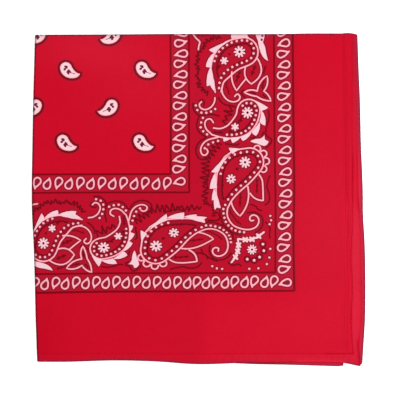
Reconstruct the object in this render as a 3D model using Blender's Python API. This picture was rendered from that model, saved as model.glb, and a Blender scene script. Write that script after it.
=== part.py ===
"""A square cotton bandana, folded in quarters and laid flat. Metres, +Z up.

X runs from the left fold to the open side, Y from the open end to the top folds.
The four quarters lie on one another. The upper two are joined by one fold along the top and the
lower two by another, and the left fold holds all four.
"""
import math

import bmesh
import bpy

# ---- sizes, in millimetres ----
QUARTER = 279.0          # one side of the folded quarter
WALL = 1.0               # cloth
GAP = 0.3                # between neighbouring pieces
HEM = 7.6                # width of a turned hem
FOLD_RADIUS = 2.3        # outside of the left and top folds
SEAM_HEIGHT = 2.6        # where the upper half of a fold starts
RISE = 0.35              # highest soft wave of the cloth
CREASE_ACROSS = 137.0    # the soft crease near the open end, from the left fold
CREASE_WIDTH = 9.0
CREASE_RISE = 0.3
TOP_SEAM_X = 130.4       # the stitched line of the top quarter's side hem is straight
TOP_SEAM_Y = -131.0      # and so is that of its end hem
RED = (0.62, 0.010, 0.026, 1.0)
DEEP_RED = (0.50, 0.008, 0.020, 1.0)

# Distance down from the top folds, then X of the left fold there.
LEFT_EDGE = (
    (0.0, -139.7),
    (27.0, -140.6),
    (48.0, -141.4),
    (89.0, -142.3),
    (158.0, -142.2),
    (176.0, -141.0),
    (209.0, -139.9),
    (250.0, -138.9),
    (279.0, -137.6),
)

# Distance down from the top folds, then X of the open side of each layer.
SIDE_EDGE = (
    (0.0, 132.6, 134.2, 132.0),
    (27.0, 133.8, 135.0, 131.1),
    (56.0, 134.6, 136.3, 130.1),
    (99.0, 135.2, 137.5, 128.7),
    (145.0, 136.0, 138.3, 127.2),
    (153.0, 137.0, 139.2, 126.9),
    (175.0, 137.9, 140.6, 126.2),
    (218.0, 138.4, 141.6, 124.8),
    (245.0, 138.4, 141.0, 123.9),
    (266.0, 136.4, 139.7, 123.1),
    (279.0, 137.6, 138.9, 122.7),
)

# Distance from the left fold, then Y of the open end of each layer.
END_EDGE = (
    (0.0, -138.0, -137.2, -133.6),
    (26.0, -138.0, -137.2, -134.3),
    (72.0, -136.8, -136.0, -135.8),
    (103.0, -137.6, -136.6, -136.8),
    (139.0, -139.6, -138.4, -138.0),
    (175.0, -138.9, -137.8, -139.2),
    (209.0, -138.1, -137.0, -140.2),
    (245.0, -137.7, -136.7, -141.4),
    (262.0, -137.8, -137.0, -141.9),
    (279.0, -141.3, -139.4, -141.9),
)

# Distance from the left fold, then Y of the top folds of the upper and the lower pair.
TOP_EDGE = (
    (0.0, 141.0, 140.4),
    (209.0, 141.0, 139.6),
    (235.0, 141.5, 139.4),
    (262.0, 141.5, 139.2),
    (279.0, 140.9, 139.0),
)

TOP, SECOND, LOWER = 1, 2, 3


def read_edge(table, column, where):
    """The smooth value of one column of an edge table at a distance along its first column."""
    last = len(table) - 1
    place = 0
    while place < last - 1 and where > table[place + 1][0]:
        place += 1
    start, end = table[place], table[place + 1]
    before = table[max(place - 1, 0)]
    after = table[min(place + 2, last)]
    span = end[0] - start[0]
    part = min(max((where - start[0]) / span, 0.0), 1.0)
    slope_in = (end[column] - before[column]) / (end[0] - before[0])
    slope_out = (after[column] - start[column]) / (after[0] - start[0])
    square, cube = part * part, part * part * part
    return (
        (2 * cube - 3 * square + 1) * start[column]
        + (cube - 2 * square + part) * span * slope_in
        + (3 * square - 2 * cube) * end[column]
        + (cube - square) * span * slope_out
    )


def flat_place(layer, across, down):
    """X and Y of a point of a layer from its distances to the left fold and the top folds."""
    left = read_edge(LEFT_EDGE, 1, down)
    side = read_edge(SIDE_EDGE, layer, down)
    top = read_edge(TOP_EDGE, 2 if layer == LOWER else 1, across)
    end = read_edge(END_EDGE, layer, across)
    side_seam = TOP_SEAM_X if layer == TOP else side - HEM
    end_seam = TOP_SEAM_Y if layer == TOP else end + HEM
    return stretch(across, left, side_seam, side), stretch(down, top, end_seam, end)


def stretch(distance, start, seam, edge):
    """A place from a fold, through the line where the hem starts, to the open edge."""
    panel = QUARTER - HEM
    if distance <= panel:
        return start + (seam - start) * distance / panel
    return seam + (edge - seam) * (distance - panel) / HEM


def wave(x, y):
    """How far the upper cloth lies above its lowest level, in soft waves and one crease."""
    long_wave = 0.5 + 0.5 * math.sin(x / 37.0 + 0.8 * math.sin(y / 61.0)) * math.cos(y / 52.0 + 0.6)
    crease_x = -139.0 + CREASE_ACROSS + 0.06 * (-100.0 - y)
    near_end = 1.0 / (1.0 + math.exp((y + 85.0) / 9.0))
    crease = math.exp(-((x - crease_x) / CREASE_WIDTH) ** 2) * near_end
    return RISE * long_wave + CREASE_RISE * crease


def spread(start, end, count):
    """Evenly spaced distances, both ends included."""
    return [start + (end - start) * k / count for k in range(count + 1)]


def fold_lines(radius, wall, steps=4):
    """Lines round a quarter bend: outer distance, inner distance, share of the rise, fullness."""
    lines = []
    for k in range(steps):
        angle = math.pi / 2 * k / steps
        outer = radius * (1 - math.cos(angle))
        inner = wall + (radius - wall) * (1 - math.cos(angle))
        lines.append((outer, inner, math.sin(angle), 1.0))
    return lines


def plain_lines(distances):
    """Lines on the flat part of a sheet."""
    return [(d, d, 1.0, 1.0) for d in distances]


def nose_lines(end, depth, steps=3):
    """Lines over a rounded edge that closes at a distance, from its full side to its tip."""
    lines = []
    for k in range(1, steps + 1):
        angle = math.radians(76.0) * k / steps
        place = end - depth + depth * math.sin(angle) / math.sin(math.radians(76.0))
        lines.append((place, place, 1.0, math.cos(angle)))
    return lines


def first_nose(start, depth, steps=3):
    """The same rounded edge at the start of a sheet."""
    lines = nose_lines(0.0, depth, steps)
    return [(start - outer, start - inner, rise, full) for outer, inner, rise, full in reversed(lines)]


def sheet_points(layer, lines_across, lines_down, height):
    """The outer and the inner grid of a sheet. height gives both levels of a point."""
    outer_rows, inner_rows = [], []
    for outer_down, inner_down, rise_down, full_down in lines_down:
        outer_row, inner_row = [], []
        for outer_across, inner_across, rise_across, full_across in lines_across:
            rise = rise_across * rise_down
            full = min(full_across, full_down)
            x, y = flat_place(layer, outer_across, outer_down)
            outer_row.append((x, y, height(x, y, rise, full, True)))
            x, y = flat_place(layer, inner_across, inner_down)
            inner_row.append((x, y, height(x, y, rise, full, False)))
        outer_rows.append(outer_row)
        inner_rows.append(inner_row)
    return outer_rows, inner_rows


def upper_fold(x, y, rise, full, outer):
    """Levels of the top quarter, which bends down at its folds."""
    radius = FOLD_RADIUS if outer else FOLD_RADIUS - WALL
    level = SEAM_HEIGHT + radius * rise + wave(x, y) * rise
    return level + (1.0 - full) * rise * WALL / 2 * (-1 if outer else 1)


def under_fold(x, y, rise, full, outer):
    """Levels of the lowest quarter, which is flat below and bends up at its folds."""
    radius = FOLD_RADIUS if outer else FOLD_RADIUS - WALL
    level = SEAM_HEIGHT - GAP - radius * rise
    return level + (1.0 - full) * rise * WALL / 2 * (1 if outer else -1)


def slab(low, high, moving):
    """Levels of a plain layer between two heights. moving is the share of the wave it takes."""
    def height(x, y, rise, full, outer):
        lift = wave(x, y) * moving
        middle = (low + high) / 2 + lift
        half = (high - low) / 2
        return middle + half * full * (1 if outer else -1)
    return height


def close_sheet(name, material, outer_rows, inner_rows, side_rings=None):
    """One closed body from its two grids, with optional rings of points between their borders."""
    rows, columns = len(outer_rows), len(outer_rows[0])
    points, faces = [], []

    def add_grid(grid):
        first = len(points)
        for row in grid:
            points.extend(row)
        return [[first + r * columns + c for c in range(columns)] for r in range(rows)]

    def border(numbers):
        loop = list(numbers[0])
        loop += [numbers[r][-1] for r in range(1, rows)]
        loop += list(reversed(numbers[-1][:-1]))
        loop += [numbers[r][0] for r in range(rows - 2, 0, -1)]
        return loop

    outer, inner = add_grid(outer_rows), add_grid(inner_rows)
    for r in range(rows - 1):
        for c in range(columns - 1):
            faces.append((outer[r][c], outer[r + 1][c], outer[r + 1][c + 1], outer[r][c + 1]))
            faces.append((inner[r][c], inner[r][c + 1], inner[r + 1][c + 1], inner[r + 1][c]))
    loops = [border(outer)]
    for ring in side_rings or []:
        first = len(points)
        points.extend(ring)
        loops.append(list(range(first, first + len(ring))))
    loops.append(border(inner))
    for upper, lower in zip(loops, loops[1:]):
        for k in range(len(upper)):
            n = (k + 1) % len(upper)
            faces.append((upper[k], upper[n], lower[n], lower[k]))

    mesh = bpy.data.meshes.new(name)
    mesh.from_pydata([tuple(v * 0.001 for v in p) for p in points], [], faces)
    work = bmesh.new()
    work.from_mesh(mesh)
    if work.calc_volume(signed=True) < 0:
        bmesh.ops.reverse_faces(work, faces=work.faces)
    work.to_mesh(mesh)
    work.free()
    mesh.polygons.foreach_set("use_smooth", [True] * len(mesh.polygons))
    mesh.materials.append(material)
    mesh.update()
    body = bpy.data.objects.new(name, mesh)
    bpy.context.collection.objects.link(body)
    return body


def cloth_colour(name, colour):
    """A dull cotton material."""
    material = bpy.data.materials.new(name)
    material.use_nodes = True
    shader = material.node_tree.nodes["Principled BSDF"]
    shader.inputs["Base Color"].default_value = colour
    shader.inputs["Roughness"].default_value = 0.85
    return material


def build_outer_quarter(prefix, layer, height, steps, colour, hem_colour):
    """The top or the lowest quarter: a panel that bends round both folds, and its two hems."""
    seam = QUARTER - HEM
    folds = fold_lines(FOLD_RADIUS, WALL)
    body = folds + plain_lines(spread(FOLD_RADIUS, seam - GAP, steps))
    nose = nose_lines(QUARTER, WALL / 2)
    turned = plain_lines([seam, QUARTER - 3.5, QUARTER - WALL / 2]) + nose
    whole = body + plain_lines([QUARTER - WALL / 2]) + nose

    panel = sheet_points(layer, body, body, height)
    close_sheet(prefix + "_panel", cloth_colour(prefix + "_panel", colour), *panel)
    side = sheet_points(layer, turned, whole, height)
    close_sheet(prefix + "_side_hem", cloth_colour(prefix + "_side_hem", hem_colour), *side)
    end = sheet_points(layer, body, turned, height)
    close_sheet(prefix + "_end_hem", cloth_colour(prefix + "_end_hem", hem_colour), *end)


def build_inner_hems(prefix, layer, height, colour):
    """The two hems of a quarter that lies between the top and the lowest one."""
    seam = QUARTER - HEM
    start = WALL + GAP + 0.5
    nose = nose_lines(QUARTER, WALL / 2)
    body = first_nose(start, WALL / 2) + plain_lines(inner_distances())
    turned = plain_lines([seam, QUARTER - 3.5, QUARTER - WALL / 2]) + nose
    whole = body + plain_lines([QUARTER - WALL / 2]) + nose

    side = sheet_points(layer, turned, whole, height)
    close_sheet(prefix + "_side_hem", cloth_colour(prefix + "_side_hem", colour), *side)
    end = sheet_points(layer, body, turned, height)
    close_sheet(prefix + "_end_hem", cloth_colour(prefix + "_end_hem", colour), *end)


def inner_distances():
    """The lines that the hidden quarters and their hems share, from a fold to the open side."""
    half = SEAM_HEIGHT - GAP / 2 - WALL - GAP
    return spread(WALL + GAP + half, QUARTER - HEM - GAP, 20)


def build_inner_layers(colour):
    """The two hidden quarters: rounded at the folds, with a groove between them at the open edges."""
    low, high = WALL + GAP, 2 * SEAM_HEIGHT - GAP - WALL - GAP
    middle = (low + high) / 2
    half = (high - low) / 2
    groove = 3.0
    round_steps = 4
    distances = inner_distances()
    columns = rows = len(distances)

    def inside(layer, across, down, level, moving):
        x, y = flat_place(layer, across, down)
        return x, y, level + wave(x, y) * moving

    upper = [[inside(SECOND, a, d, high, 1.0) for a in distances] for d in distances]
    lower = [[inside(LOWER, a, d, low, 0.0) for a in distances] for d in distances]

    # Each place of the border, in the same order as the grids' own border.
    border = [(c, 0) for c in range(columns)]
    border += [(columns - 1, r) for r in range(1, rows)]
    border += [(c, rows - 1) for c in range(columns - 2, -1, -1)]
    border += [(0, r) for r in range(rows - 2, 0, -1)]

    # Four rings join the grids. At the folds they are the round edge. At the open edges the
    # middle two lie in the groove, behind the shorter of the two layers.
    rings = []
    open_levels = (high - WALL, high - WALL, low + WALL, low + WALL)
    for k in range(4):
        angle = math.pi * (k + 1) / 5
        reach = half * math.sin(angle)
        in_groove = k in (1, 2)
        ring = []
        for c, r in border:
            across = distances[c] - (reach if c == 0 else 0.0)
            down = distances[r] - (reach if r == 0 else 0.0)
            open_side = c == columns - 1
            open_end = r == rows - 1
            second = flat_place(SECOND, across, down)
            lower_pair = flat_place(LOWER, across, down)
            at_top = k == 0 or (k == 1 and (open_side or open_end) and r != 0)
            x, y = second if at_top else lower_pair
            level = middle + half * math.cos(angle)
            if open_side or open_end:
                level = open_levels[k]
            if open_side and in_groove:
                x = min(second[0], lower_pair[0]) - groove
            if open_end and in_groove:
                y = max(second[1], lower_pair[1]) + groove
            ring.append((x, y, level + wave(x, y) * (0.85, 0.7, 0.0, 0.0)[k]))
        rings.append(ring)
    close_sheet("inner_layers", cloth_colour("inner_layers", colour), upper, lower, rings)


for old in list(bpy.data.objects):
    bpy.data.objects.remove(old, do_unlink=True)

level_two = SEAM_HEIGHT
level_three = WALL + GAP
build_outer_quarter("top", TOP, upper_fold, 20, RED, RED)
build_inner_hems("second", SECOND, slab(level_two, level_two + WALL, 1.0), DEEP_RED)
build_inner_hems("third", LOWER, slab(level_three, level_three + WALL, 0.0), DEEP_RED)
build_inner_layers(DEEP_RED)
build_outer_quarter("under", LOWER, under_fold, 20, RED, RED)

# Centre the whole on the origin.
corners = [body.matrix_world @ v.co for body in bpy.data.objects for v in body.data.vertices]
middle_x = (min(c.x for c in corners) + max(c.x for c in corners)) / 2
middle_y = (min(c.y for c in corners) + max(c.y for c in corners)) / 2
for body in bpy.data.objects:
    for vertex in body.data.vertices:
        vertex.co.x -= middle_x
        vertex.co.y -= middle_y
    body.data.update()
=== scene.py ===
"""A square cotton bandana, hemmed all round, printed with a paisley border and folded in four."""

import math
from collections import namedtuple

import bpy
import numpy as np
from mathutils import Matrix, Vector
from mathutils.geometry import delaunay_2d_cdt


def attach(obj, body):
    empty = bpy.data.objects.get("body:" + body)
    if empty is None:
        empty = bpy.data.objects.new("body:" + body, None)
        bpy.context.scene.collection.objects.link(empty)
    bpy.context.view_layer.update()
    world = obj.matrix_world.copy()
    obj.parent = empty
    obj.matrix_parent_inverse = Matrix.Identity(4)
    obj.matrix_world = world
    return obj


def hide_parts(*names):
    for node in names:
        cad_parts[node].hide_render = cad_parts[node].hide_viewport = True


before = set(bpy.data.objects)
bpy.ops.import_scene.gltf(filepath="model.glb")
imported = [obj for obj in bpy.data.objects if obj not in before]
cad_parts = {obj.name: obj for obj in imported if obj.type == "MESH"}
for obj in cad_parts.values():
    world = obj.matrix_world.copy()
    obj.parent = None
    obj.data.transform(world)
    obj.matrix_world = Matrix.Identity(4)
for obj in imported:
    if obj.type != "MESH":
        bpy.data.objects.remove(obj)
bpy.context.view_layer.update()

# ==== The cut cloth and its two folds ====
# One square of thin cotton is folded along the top, then along the left, so four quarters lie on
# one another. The upper two share one top fold and the lower two another. Sizes are in millimetres.
MM = 0.001
CLOTH = 0.4                # thickness of the cotton
MIDDLE = (0.42, 0.18)      # the folded cloth is centred on its own box
TOP_LEVEL = 141.4          # where distances down from the top folds start
LEFT_LEVEL = -139.8        # where distances across from the left fold start

# Distance down from the top folds, then X of the left fold.
LEFT_FOLD = np.array((
    (0.0, -139.7), (27.0, -140.4), (48.0, -141.0), (89.0, -141.8), (158.0, -142.0),
    (176.0, -141.0), (209.0, -139.9), (250.0, -138.9), (279.0, -137.6),
))
# Distance down from the top folds, then X of the open side: top, second and lower quarters.
OPEN_SIDE = np.array((
    (0.0, 132.6, 134.7, 132.0), (27.0, 133.8, 135.6, 131.1), (56.0, 134.6, 136.8, 130.1),
    (99.0, 135.2, 137.9, 128.7), (121.0, 135.3, 138.9, 128.0), (138.0, 135.7, 139.4, 127.4),
    (153.0, 136.8, 139.5, 126.9), (175.0, 137.7, 140.8, 126.2), (218.0, 138.4, 141.6, 124.8),
    (245.0, 138.3, 141.2, 123.9), (266.0, 136.3, 139.9, 123.1), (279.0, 137.4, 139.1, 122.7),
))
# Distance across from the left fold, then Y of the open end of the same quarters.
OPEN_END = np.array((
    (0.0, -138.0, -137.2, -133.6), (26.0, -138.0, -137.2, -134.3), (72.0, -136.8, -136.0, -135.8),
    (103.0, -137.6, -136.6, -136.8), (139.0, -139.9, -138.4, -138.0),
    (175.0, -138.9, -137.8, -139.5), (191.0, -138.4, -137.4, -140.1), (209.0, -138.1, -137.0, -140.4),
    (245.0, -138.1, -136.8, -141.4), (262.0, -138.7, -137.4, -141.9),
    (279.0, -142.2, -140.6, -141.9),
))
# Distance across from the left fold, then Y of the top fold of the upper and of the lower pair.
TOP_FOLD = np.array((
    (0.0, 140.3, 139.9), (70.0, 140.6, 139.9), (120.0, 141.0, 139.8), (209.0, 141.0, 139.6),
    (235.0, 141.4, 139.4), (262.0, 141.4, 139.2), (270.0, 141.4, 139.1), (275.0, 140.2, 138.9),
    (279.0, 139.2, 138.7),
))
# Each quarter: +1 in the upper pair or -1 in the lower, +1 outside or -1 inside its pair, the way
# its printed side faces (+1 up), and its column in the tables of the open edges.
Quarter = namedtuple("Quarter", "pair outside faces column")
QUARTERS = {
    "top": Quarter(1, 1, 1, 1),
    "second": Quarter(1, -1, -1, 2),
    "third": Quarter(-1, -1, 1, 3),
    "under": Quarter(-1, 1, -1, 3),
}
LEVEL_INSIDE = {"top": 4.2, "second": 2.7, "third": 1.7, "under": 0.2}
LEVEL_AT_HEM = {"top": 4.55, "second": 2.6, "third": 2.15, "under": 0.2}
SIDE_BEND = 2.2            # half thickness of the left fold
TOP_BEND = 0.95            # half thickness of a top fold
HEM_WIDTH = 7.6
HEM_SLOPE = 5.0            # how far the cloth takes to sink beside the stacked hems
SAG_MOST, SAG_REACH = 1.7, 15.0    # the upper pair sinks where the lower pair ends short
END_STITCH_Y = -131.0      # the top quarter's stitching along its open end
# Distance down from the top folds, then X of its stitching along the open side, and how far in
# that is drawn.
SIDE_STITCH = np.array((
    (0.0, 130.7, 0.3), (60.0, 130.7, 0.2), (96.0, 130.8, 0.3), (106.0, 130.8, 1.5),
    (140.0, 130.8, 1.6), (152.0, 130.9, 0.7), (164.0, 130.8, 0.9), (178.0, 129.95, 1.0),
    (198.0, 129.9, 1.1), (216.0, 130.7, 1.0), (236.0, 130.0, 1.0), (251.0, 129.95, 1.3),
    (265.0, 130.7, 1.1), (273.0, 131.3, 0.9), (279.0, 131.6, 0.5),
))
SHALLOW_IN, DEEPER_IN = 0.18, 1.02         # how far in its end stitching is drawn, and how much more
DEEPER_FROM, DEEPER_OVER = 100.0, 12.0     # where that deepens, and over what distance
GROOVE_DEEP, GROOVE_WIDE = 0.24, 0.55      # the groove that any stitching draws

# The upper cloth's one broad swell, which leans a little and falls off more slowly on its right.
SWELL_HIGH, SWELL_X, SWELL_LEAN = 1.5, 4.0, 0.03
SWELL_LEFT, SWELL_RIGHT, SWELL_ROUND = 40.0, 62.0, 30.0
# The pulled ridges beside its side stitching, and the hollow beyond them.
RIDGE_HIGH, RIDGE_PITCH, RIDGE_IN, RIDGE_WIDE = 0.08, 2.35, 4.2, 3.0
HOLLOW_DEEP, HOLLOW_IN, HOLLOW_WIDE = 0.06, 8.6, 1.6
GATHER_HIGH = 0.07         # the little gathers of its hems


def flow(table, column, at):
    """The smooth value of one column of a table at places along its first column."""
    place, value = table[:, 0], table[:, column]
    slope = np.gradient(value, place)
    k = np.clip(np.searchsorted(place, at) - 1, 0, len(place) - 2)
    span = place[k + 1] - place[k]
    part = np.clip((at - place[k]) / span, 0.0, 1.0)
    square, cube = part**2, part**3
    return (
        (2 * cube - 3 * square + 1) * value[k]
        + (cube - 2 * square + part) * span * slope[k]
        + (3 * square - 2 * cube) * value[k + 1]
        + (cube - square) * span * slope[k + 1]
    )


def ease(t):
    """A soft step from 0 to 1."""
    t = np.clip(t, 0.0, 1.0)
    return t * t * (3 - 2 * t)


def hump(at, middle, half_width):
    """1 at the middle, falling off evenly on both sides."""
    return np.exp(-(((at - middle) / half_width) ** 2))


def left_fold(y):
    """X where the cloth starts to bend round the left fold."""
    return flow(LEFT_FOLD, 1, TOP_LEVEL - y) + MIDDLE[0] + SIDE_BEND


def top_fold(name, x):
    """Y where a quarter starts to bend round its top fold."""
    column = 1 if QUARTERS[name].pair > 0 else 2
    return flow(TOP_FOLD, column, x - LEFT_LEVEL) + MIDDLE[1] - TOP_BEND


def open_side(name, y):
    """X of a quarter's open side."""
    return flow(OPEN_SIDE, QUARTERS[name].column, TOP_LEVEL - y) + MIDDLE[0]


def open_end(name, x):
    """Y of a quarter's open end."""
    return flow(OPEN_END, QUARTERS[name].column, x - LEFT_LEVEL) + MIDDLE[1]


def stitch_side(y):
    """X of the stitching along the open side, and how far in it is drawn."""
    return flow(SIDE_STITCH, 1, TOP_LEVEL - y), flow(SIDE_STITCH, 2, TOP_LEVEL - y)


def stitch_end(x):
    """How far in the stitching along the open end is drawn."""
    return SHALLOW_IN + DEEPER_IN * ease((x - DEEPER_FROM) / DEEPER_OVER)


def in_hem(name, x, y):
    """1 over the stacked hems, easing to 0 inside them."""
    side = 1 - ease((open_side(name, y) - x - HEM_WIDTH) / HEM_SLOPE)
    end = 1 - ease((y - open_end(name, x) - HEM_WIDTH) / HEM_SLOPE)
    return np.maximum(side, end)


def level(name, hem):
    """How high the middle of a quarter's cloth lies; hem is 1 over the stacked hems."""
    return LEVEL_INSIDE[name] + (LEVEL_AT_HEM[name] - LEVEL_INSIDE[name]) * hem


def waves(x, y):
    """The soft waves of the upper cloth: small ones all over, one broad swell, and pulled ridges."""
    broad = 0.16 * np.sin(x / 41.0 + 0.9 * np.sin(y / 63.0)) * np.cos(y / 49.0 + 0.6)
    broad += 0.07 * np.sin(x / 17.0 - y / 29.0 + 1.0) * np.sin(y / 21.0 + 0.4)
    off = x - (SWELL_X + SWELL_LEAN * (y + 100.0))
    towards_end = 1 - 0.85 * ease((y + 100.0) / 90.0)
    flank = np.where(off > 0, SWELL_RIGHT, SWELL_LEFT)
    away = np.sqrt(off**2 + SWELL_ROUND) - math.sqrt(SWELL_ROUND)
    swell = SWELL_HIGH * towards_end * np.exp(-away / flank)
    from_stitches = stitch_side(y)[0] - x
    along = np.clip((y + 118.0) / 10.0, 0, 1) * np.clip((100.0 - y) / 60.0, 0.25, 1)
    ridges = RIDGE_HIGH * np.sin(from_stitches * 2 * math.pi / RIDGE_PITCH + 0.5 * np.sin(y / 19.0))
    ridges *= hump(from_stitches, RIDGE_IN, RIDGE_WIDE) * along
    hollow = HOLLOW_DEEP * hump(from_stitches, HOLLOW_IN, HOLLOW_WIDE)
    return broad + swell + ridges - hollow * ease((y + 5.0) / 30.0)


def gathers(x, y):
    """The little gathers of the top quarter's hems, between their stitching and their edges."""
    off_side = np.clip((x - stitch_side(y)[0]) / 2.0, 0, 1)
    off_end = np.clip((END_STITCH_Y - y) / 2.0, 0, 1)
    side = np.sin(y / 0.83 + 1.3 * np.sin(y / 5.1) + 0.5 * x)
    side = side * (0.5 + 0.5 * np.sin(y / 11.0 + 2.0)) + 0.5 * np.sin(y / 2.3 + 0.4)
    end = np.sin(x / 0.91 + 1.5 * np.sin(x / 6.3) - 0.4 * (y - END_STITCH_Y))
    end = end * (0.5 + 0.5 * np.sin(x / 14.0)) + 0.5 * np.sin(x / 2.7 + 1.4)
    return GATHER_HIGH * (side * off_side + end * off_end)


def stitching(name, x, y):
    """Where a quarter's two lines of stitching run, and how far in each is drawn."""
    if name == "top":
        side_line, side_in = stitch_side(y)
        return side_line, side_in, np.full(len(x), END_STITCH_Y), stitch_end(x)
    return open_side(name, y) - HEM_WIDTH, 1.0, open_end(name, x) + HEM_WIDTH, 1.0


def sag(x, y):
    """How far the upper pair sinks beyond the edges of the lower pair."""
    beyond = np.maximum(x - open_side("under", y), open_end("under", x) - y)
    return SAG_MOST * ease(beyond / SAG_REACH)


def lie(name, x, y):
    """Where the middle of a quarter's cloth lies for a place on the flat cut."""
    pair, outside = QUARTERS[name].pair, QUARTERS[name].outside
    fold_x = left_fold(y)
    fold_y = top_fold(name, np.maximum(x, fold_x))
    flat_x, flat_y = np.maximum(x, fold_x), np.minimum(y, fold_y)
    hem = in_hem(name, flat_x, flat_y)
    outer, inner = (level(n, hem) for n in (("top", "second") if pair > 0 else ("under", "third")))
    centre, half = (outer + inner) / 2, np.abs(outer - inner) / 2
    # The left fold carries both pairs round half a circle.
    fold_hem = in_hem("under", fold_x, flat_y)
    upper, lower = (
        sum(level(n, fold_hem) for n in two) / 2 for two in (("top", "second"), ("under", "third"))
    )
    round_x = np.maximum(fold_x - x, 0.0)
    bend = (upper - lower) / 2
    turn = round_x / (bend + outside * half)
    lift = np.where(round_x > 0, (upper + lower) / 2 + pair * bend * np.cos(turn), centre)
    strip_x = flat_x - np.where(round_x > 0, bend * np.sin(turn), 0.0)
    lean_x = np.where(round_x > 0, -np.sin(turn), 0.0)
    level_turn = np.where(round_x > 0, np.cos(turn), 1.0)
    lean_z = pair * level_turn
    # Each top fold carries the two quarters of a pair round a smaller half circle.
    over = np.maximum(y - fold_y, 0.0) / half
    out = outside * half * np.cos(over)
    spot = np.stack([strip_x + lean_x * out, flat_y + half * np.sin(over), lift + lean_z * out], 1)
    # The upper cloth moves most in the waves and the lowest lies flat.
    with_outer, with_inner = (1 + lean_z) / 2, 0.5 + 0.2 * lean_z
    share = (with_outer + with_inner) / 2 + outside * np.cos(over) * (with_outer - with_inner) / 2
    spot[:, 2] += share * waves(flat_x, flat_y)
    if name == "top":
        spot[:, 2] += np.cos(over) * level_turn * gathers(flat_x, flat_y)
    if pair > 0:
        spot[:, 2] -= sag(flat_x, flat_y)
    # The stitching draws the hem in.
    if outside > 0:
        side_line, side_in, end_line, end_in = stitching(name, flat_x, flat_y)
        side = side_in * hump(flat_x, side_line, GROOVE_WIDE) * (flat_y > end_line - 1)
        end = end_in * hump(flat_y, end_line, GROOVE_WIDE) * (flat_x < side_line + 1)
        spot[:, 2] -= GROOVE_DEEP * np.maximum(side, end) * np.cos(over) * lean_z
    return spot


NEAR = 0.02                # how far off the close neighbours of a place are taken


def facing(place, x, y, faces):
    """The way the printed side faces, from close neighbours."""
    along = place(x + NEAR, y) - place(x - NEAR, y)
    up = place(x, y + NEAR) - place(x, y - NEAR)
    out = np.cross(along, up) * faces
    return out / np.linalg.norm(out, axis=1, keepdims=True)


# ==== The hems ====
# All four edges of the square are turned to the wrong side and stitched down, with the corners
# mitred. A turned edge rolls round and lies back under its own quarter.
ROLL = 0.38                                # radius of the rolled edge
ROLLED = math.pi * ROLL                    # how much cloth the roll takes
TURN = ROLLED + 7.1                        # how much cloth lies beyond the start of the roll
ROLL_LINES, BACK_LINES = 8, 4              # lines of points round the roll, and on what lies back
ABOVE_FOLD, BELOW_FOLD = 141.0, 139.0      # Y just beyond the top folds and just before them
FAR_LEFT = -150.0                          # X beyond the left fold


def turned(name, x, y, part):
    """Where the cut lies: part 0 is the panel, 1 the side hem and 2 the end hem."""
    side_line = open_side(name, y) - ROLL
    end_line = open_end(name, x) + ROLL
    past = np.where(part == 1, x - side_line, np.where(part == 2, end_line - y, 0.0))
    back = np.maximum(past - ROLLED, 0.0)
    base_x = np.where(part == 1, side_line - back, x)
    base_y = np.where(part == 2, end_line + back, y)
    spot = lie(name, base_x, base_y)
    hem = part > 0
    if hem.any():
        hx, hy = base_x[hem], base_y[hem]
        out = facing(lambda a, b: lie(name, a, b), hx, hy, QUARTERS[name].faces)
        across = lie(name, hx + NEAR, hy) - lie(name, hx - NEAR, hy)
        down = lie(name, hx, hy - NEAR) - lie(name, hx, hy + NEAR)
        way = np.where((part[hem] == 1)[:, None], across, down)
        way /= np.linalg.norm(way, axis=1, keepdims=True)
        angle = np.clip(past[hem] / ROLL, 0.0, math.pi)[:, None]
        spot[hem] += way * ROLL * np.sin(angle) - out * ROLL * (1 - np.cos(angle))
    return spot


# Distances past the start of the roll where a hem has its lines of points.
HEM_LINES = np.concatenate([
    np.linspace(0, ROLLED, ROLL_LINES + 1),
    np.linspace(ROLLED, TURN, BACK_LINES + 1)[1:],
])


def inward(past):
    """How far inside the start of the roll a line of a hem lies, for its distance past it."""
    return past - ROLLED if past > ROLLED else -ROLL * math.sin(past / ROLL)


def value(line, name, place):
    """The value of a quarter's edge, fold or rim at one place."""
    return float(line(name, np.array([place]))[0])


def mitre(name, past):
    """The two places on the cut that meet at the mitre, for a distance past the roll's start."""
    x, y = 135.0, -137.0
    for _ in range(12):
        x = value(open_side, name, y) - ROLL - inward(past)
        y = value(open_end, name, x) + ROLL + inward(past)
    return (x + inward(past) + past, y), (x, y - inward(past) - past)


def left_rim(name, y):
    """Where a quarter ends halfway round the left fold."""
    hem = in_hem("under", left_fold(y), np.minimum(y, top_fold(name, left_fold(y))))
    top, second, third, under = (level(n, hem) for n in QUARTERS)
    bend = (top + second - third - under) / 4
    half = (top - second) / 2 if QUARTERS[name].pair > 0 else (third - under) / 2
    return left_fold(y) - (bend + QUARTERS[name].outside * half) * math.pi / 2


def top_rim(name, x):
    """Where a quarter ends halfway round its top fold."""
    x = np.maximum(x, left_fold(np.full_like(x, 140.0)))
    line = top_fold(name, x)
    hem = in_hem(name, x, line)
    two = ("top", "second") if QUARTERS[name].pair > 0 else ("third", "under")
    high, low = (level(n, hem) for n in two)
    return line + (high - low) / 2 * math.pi / 2


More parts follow.
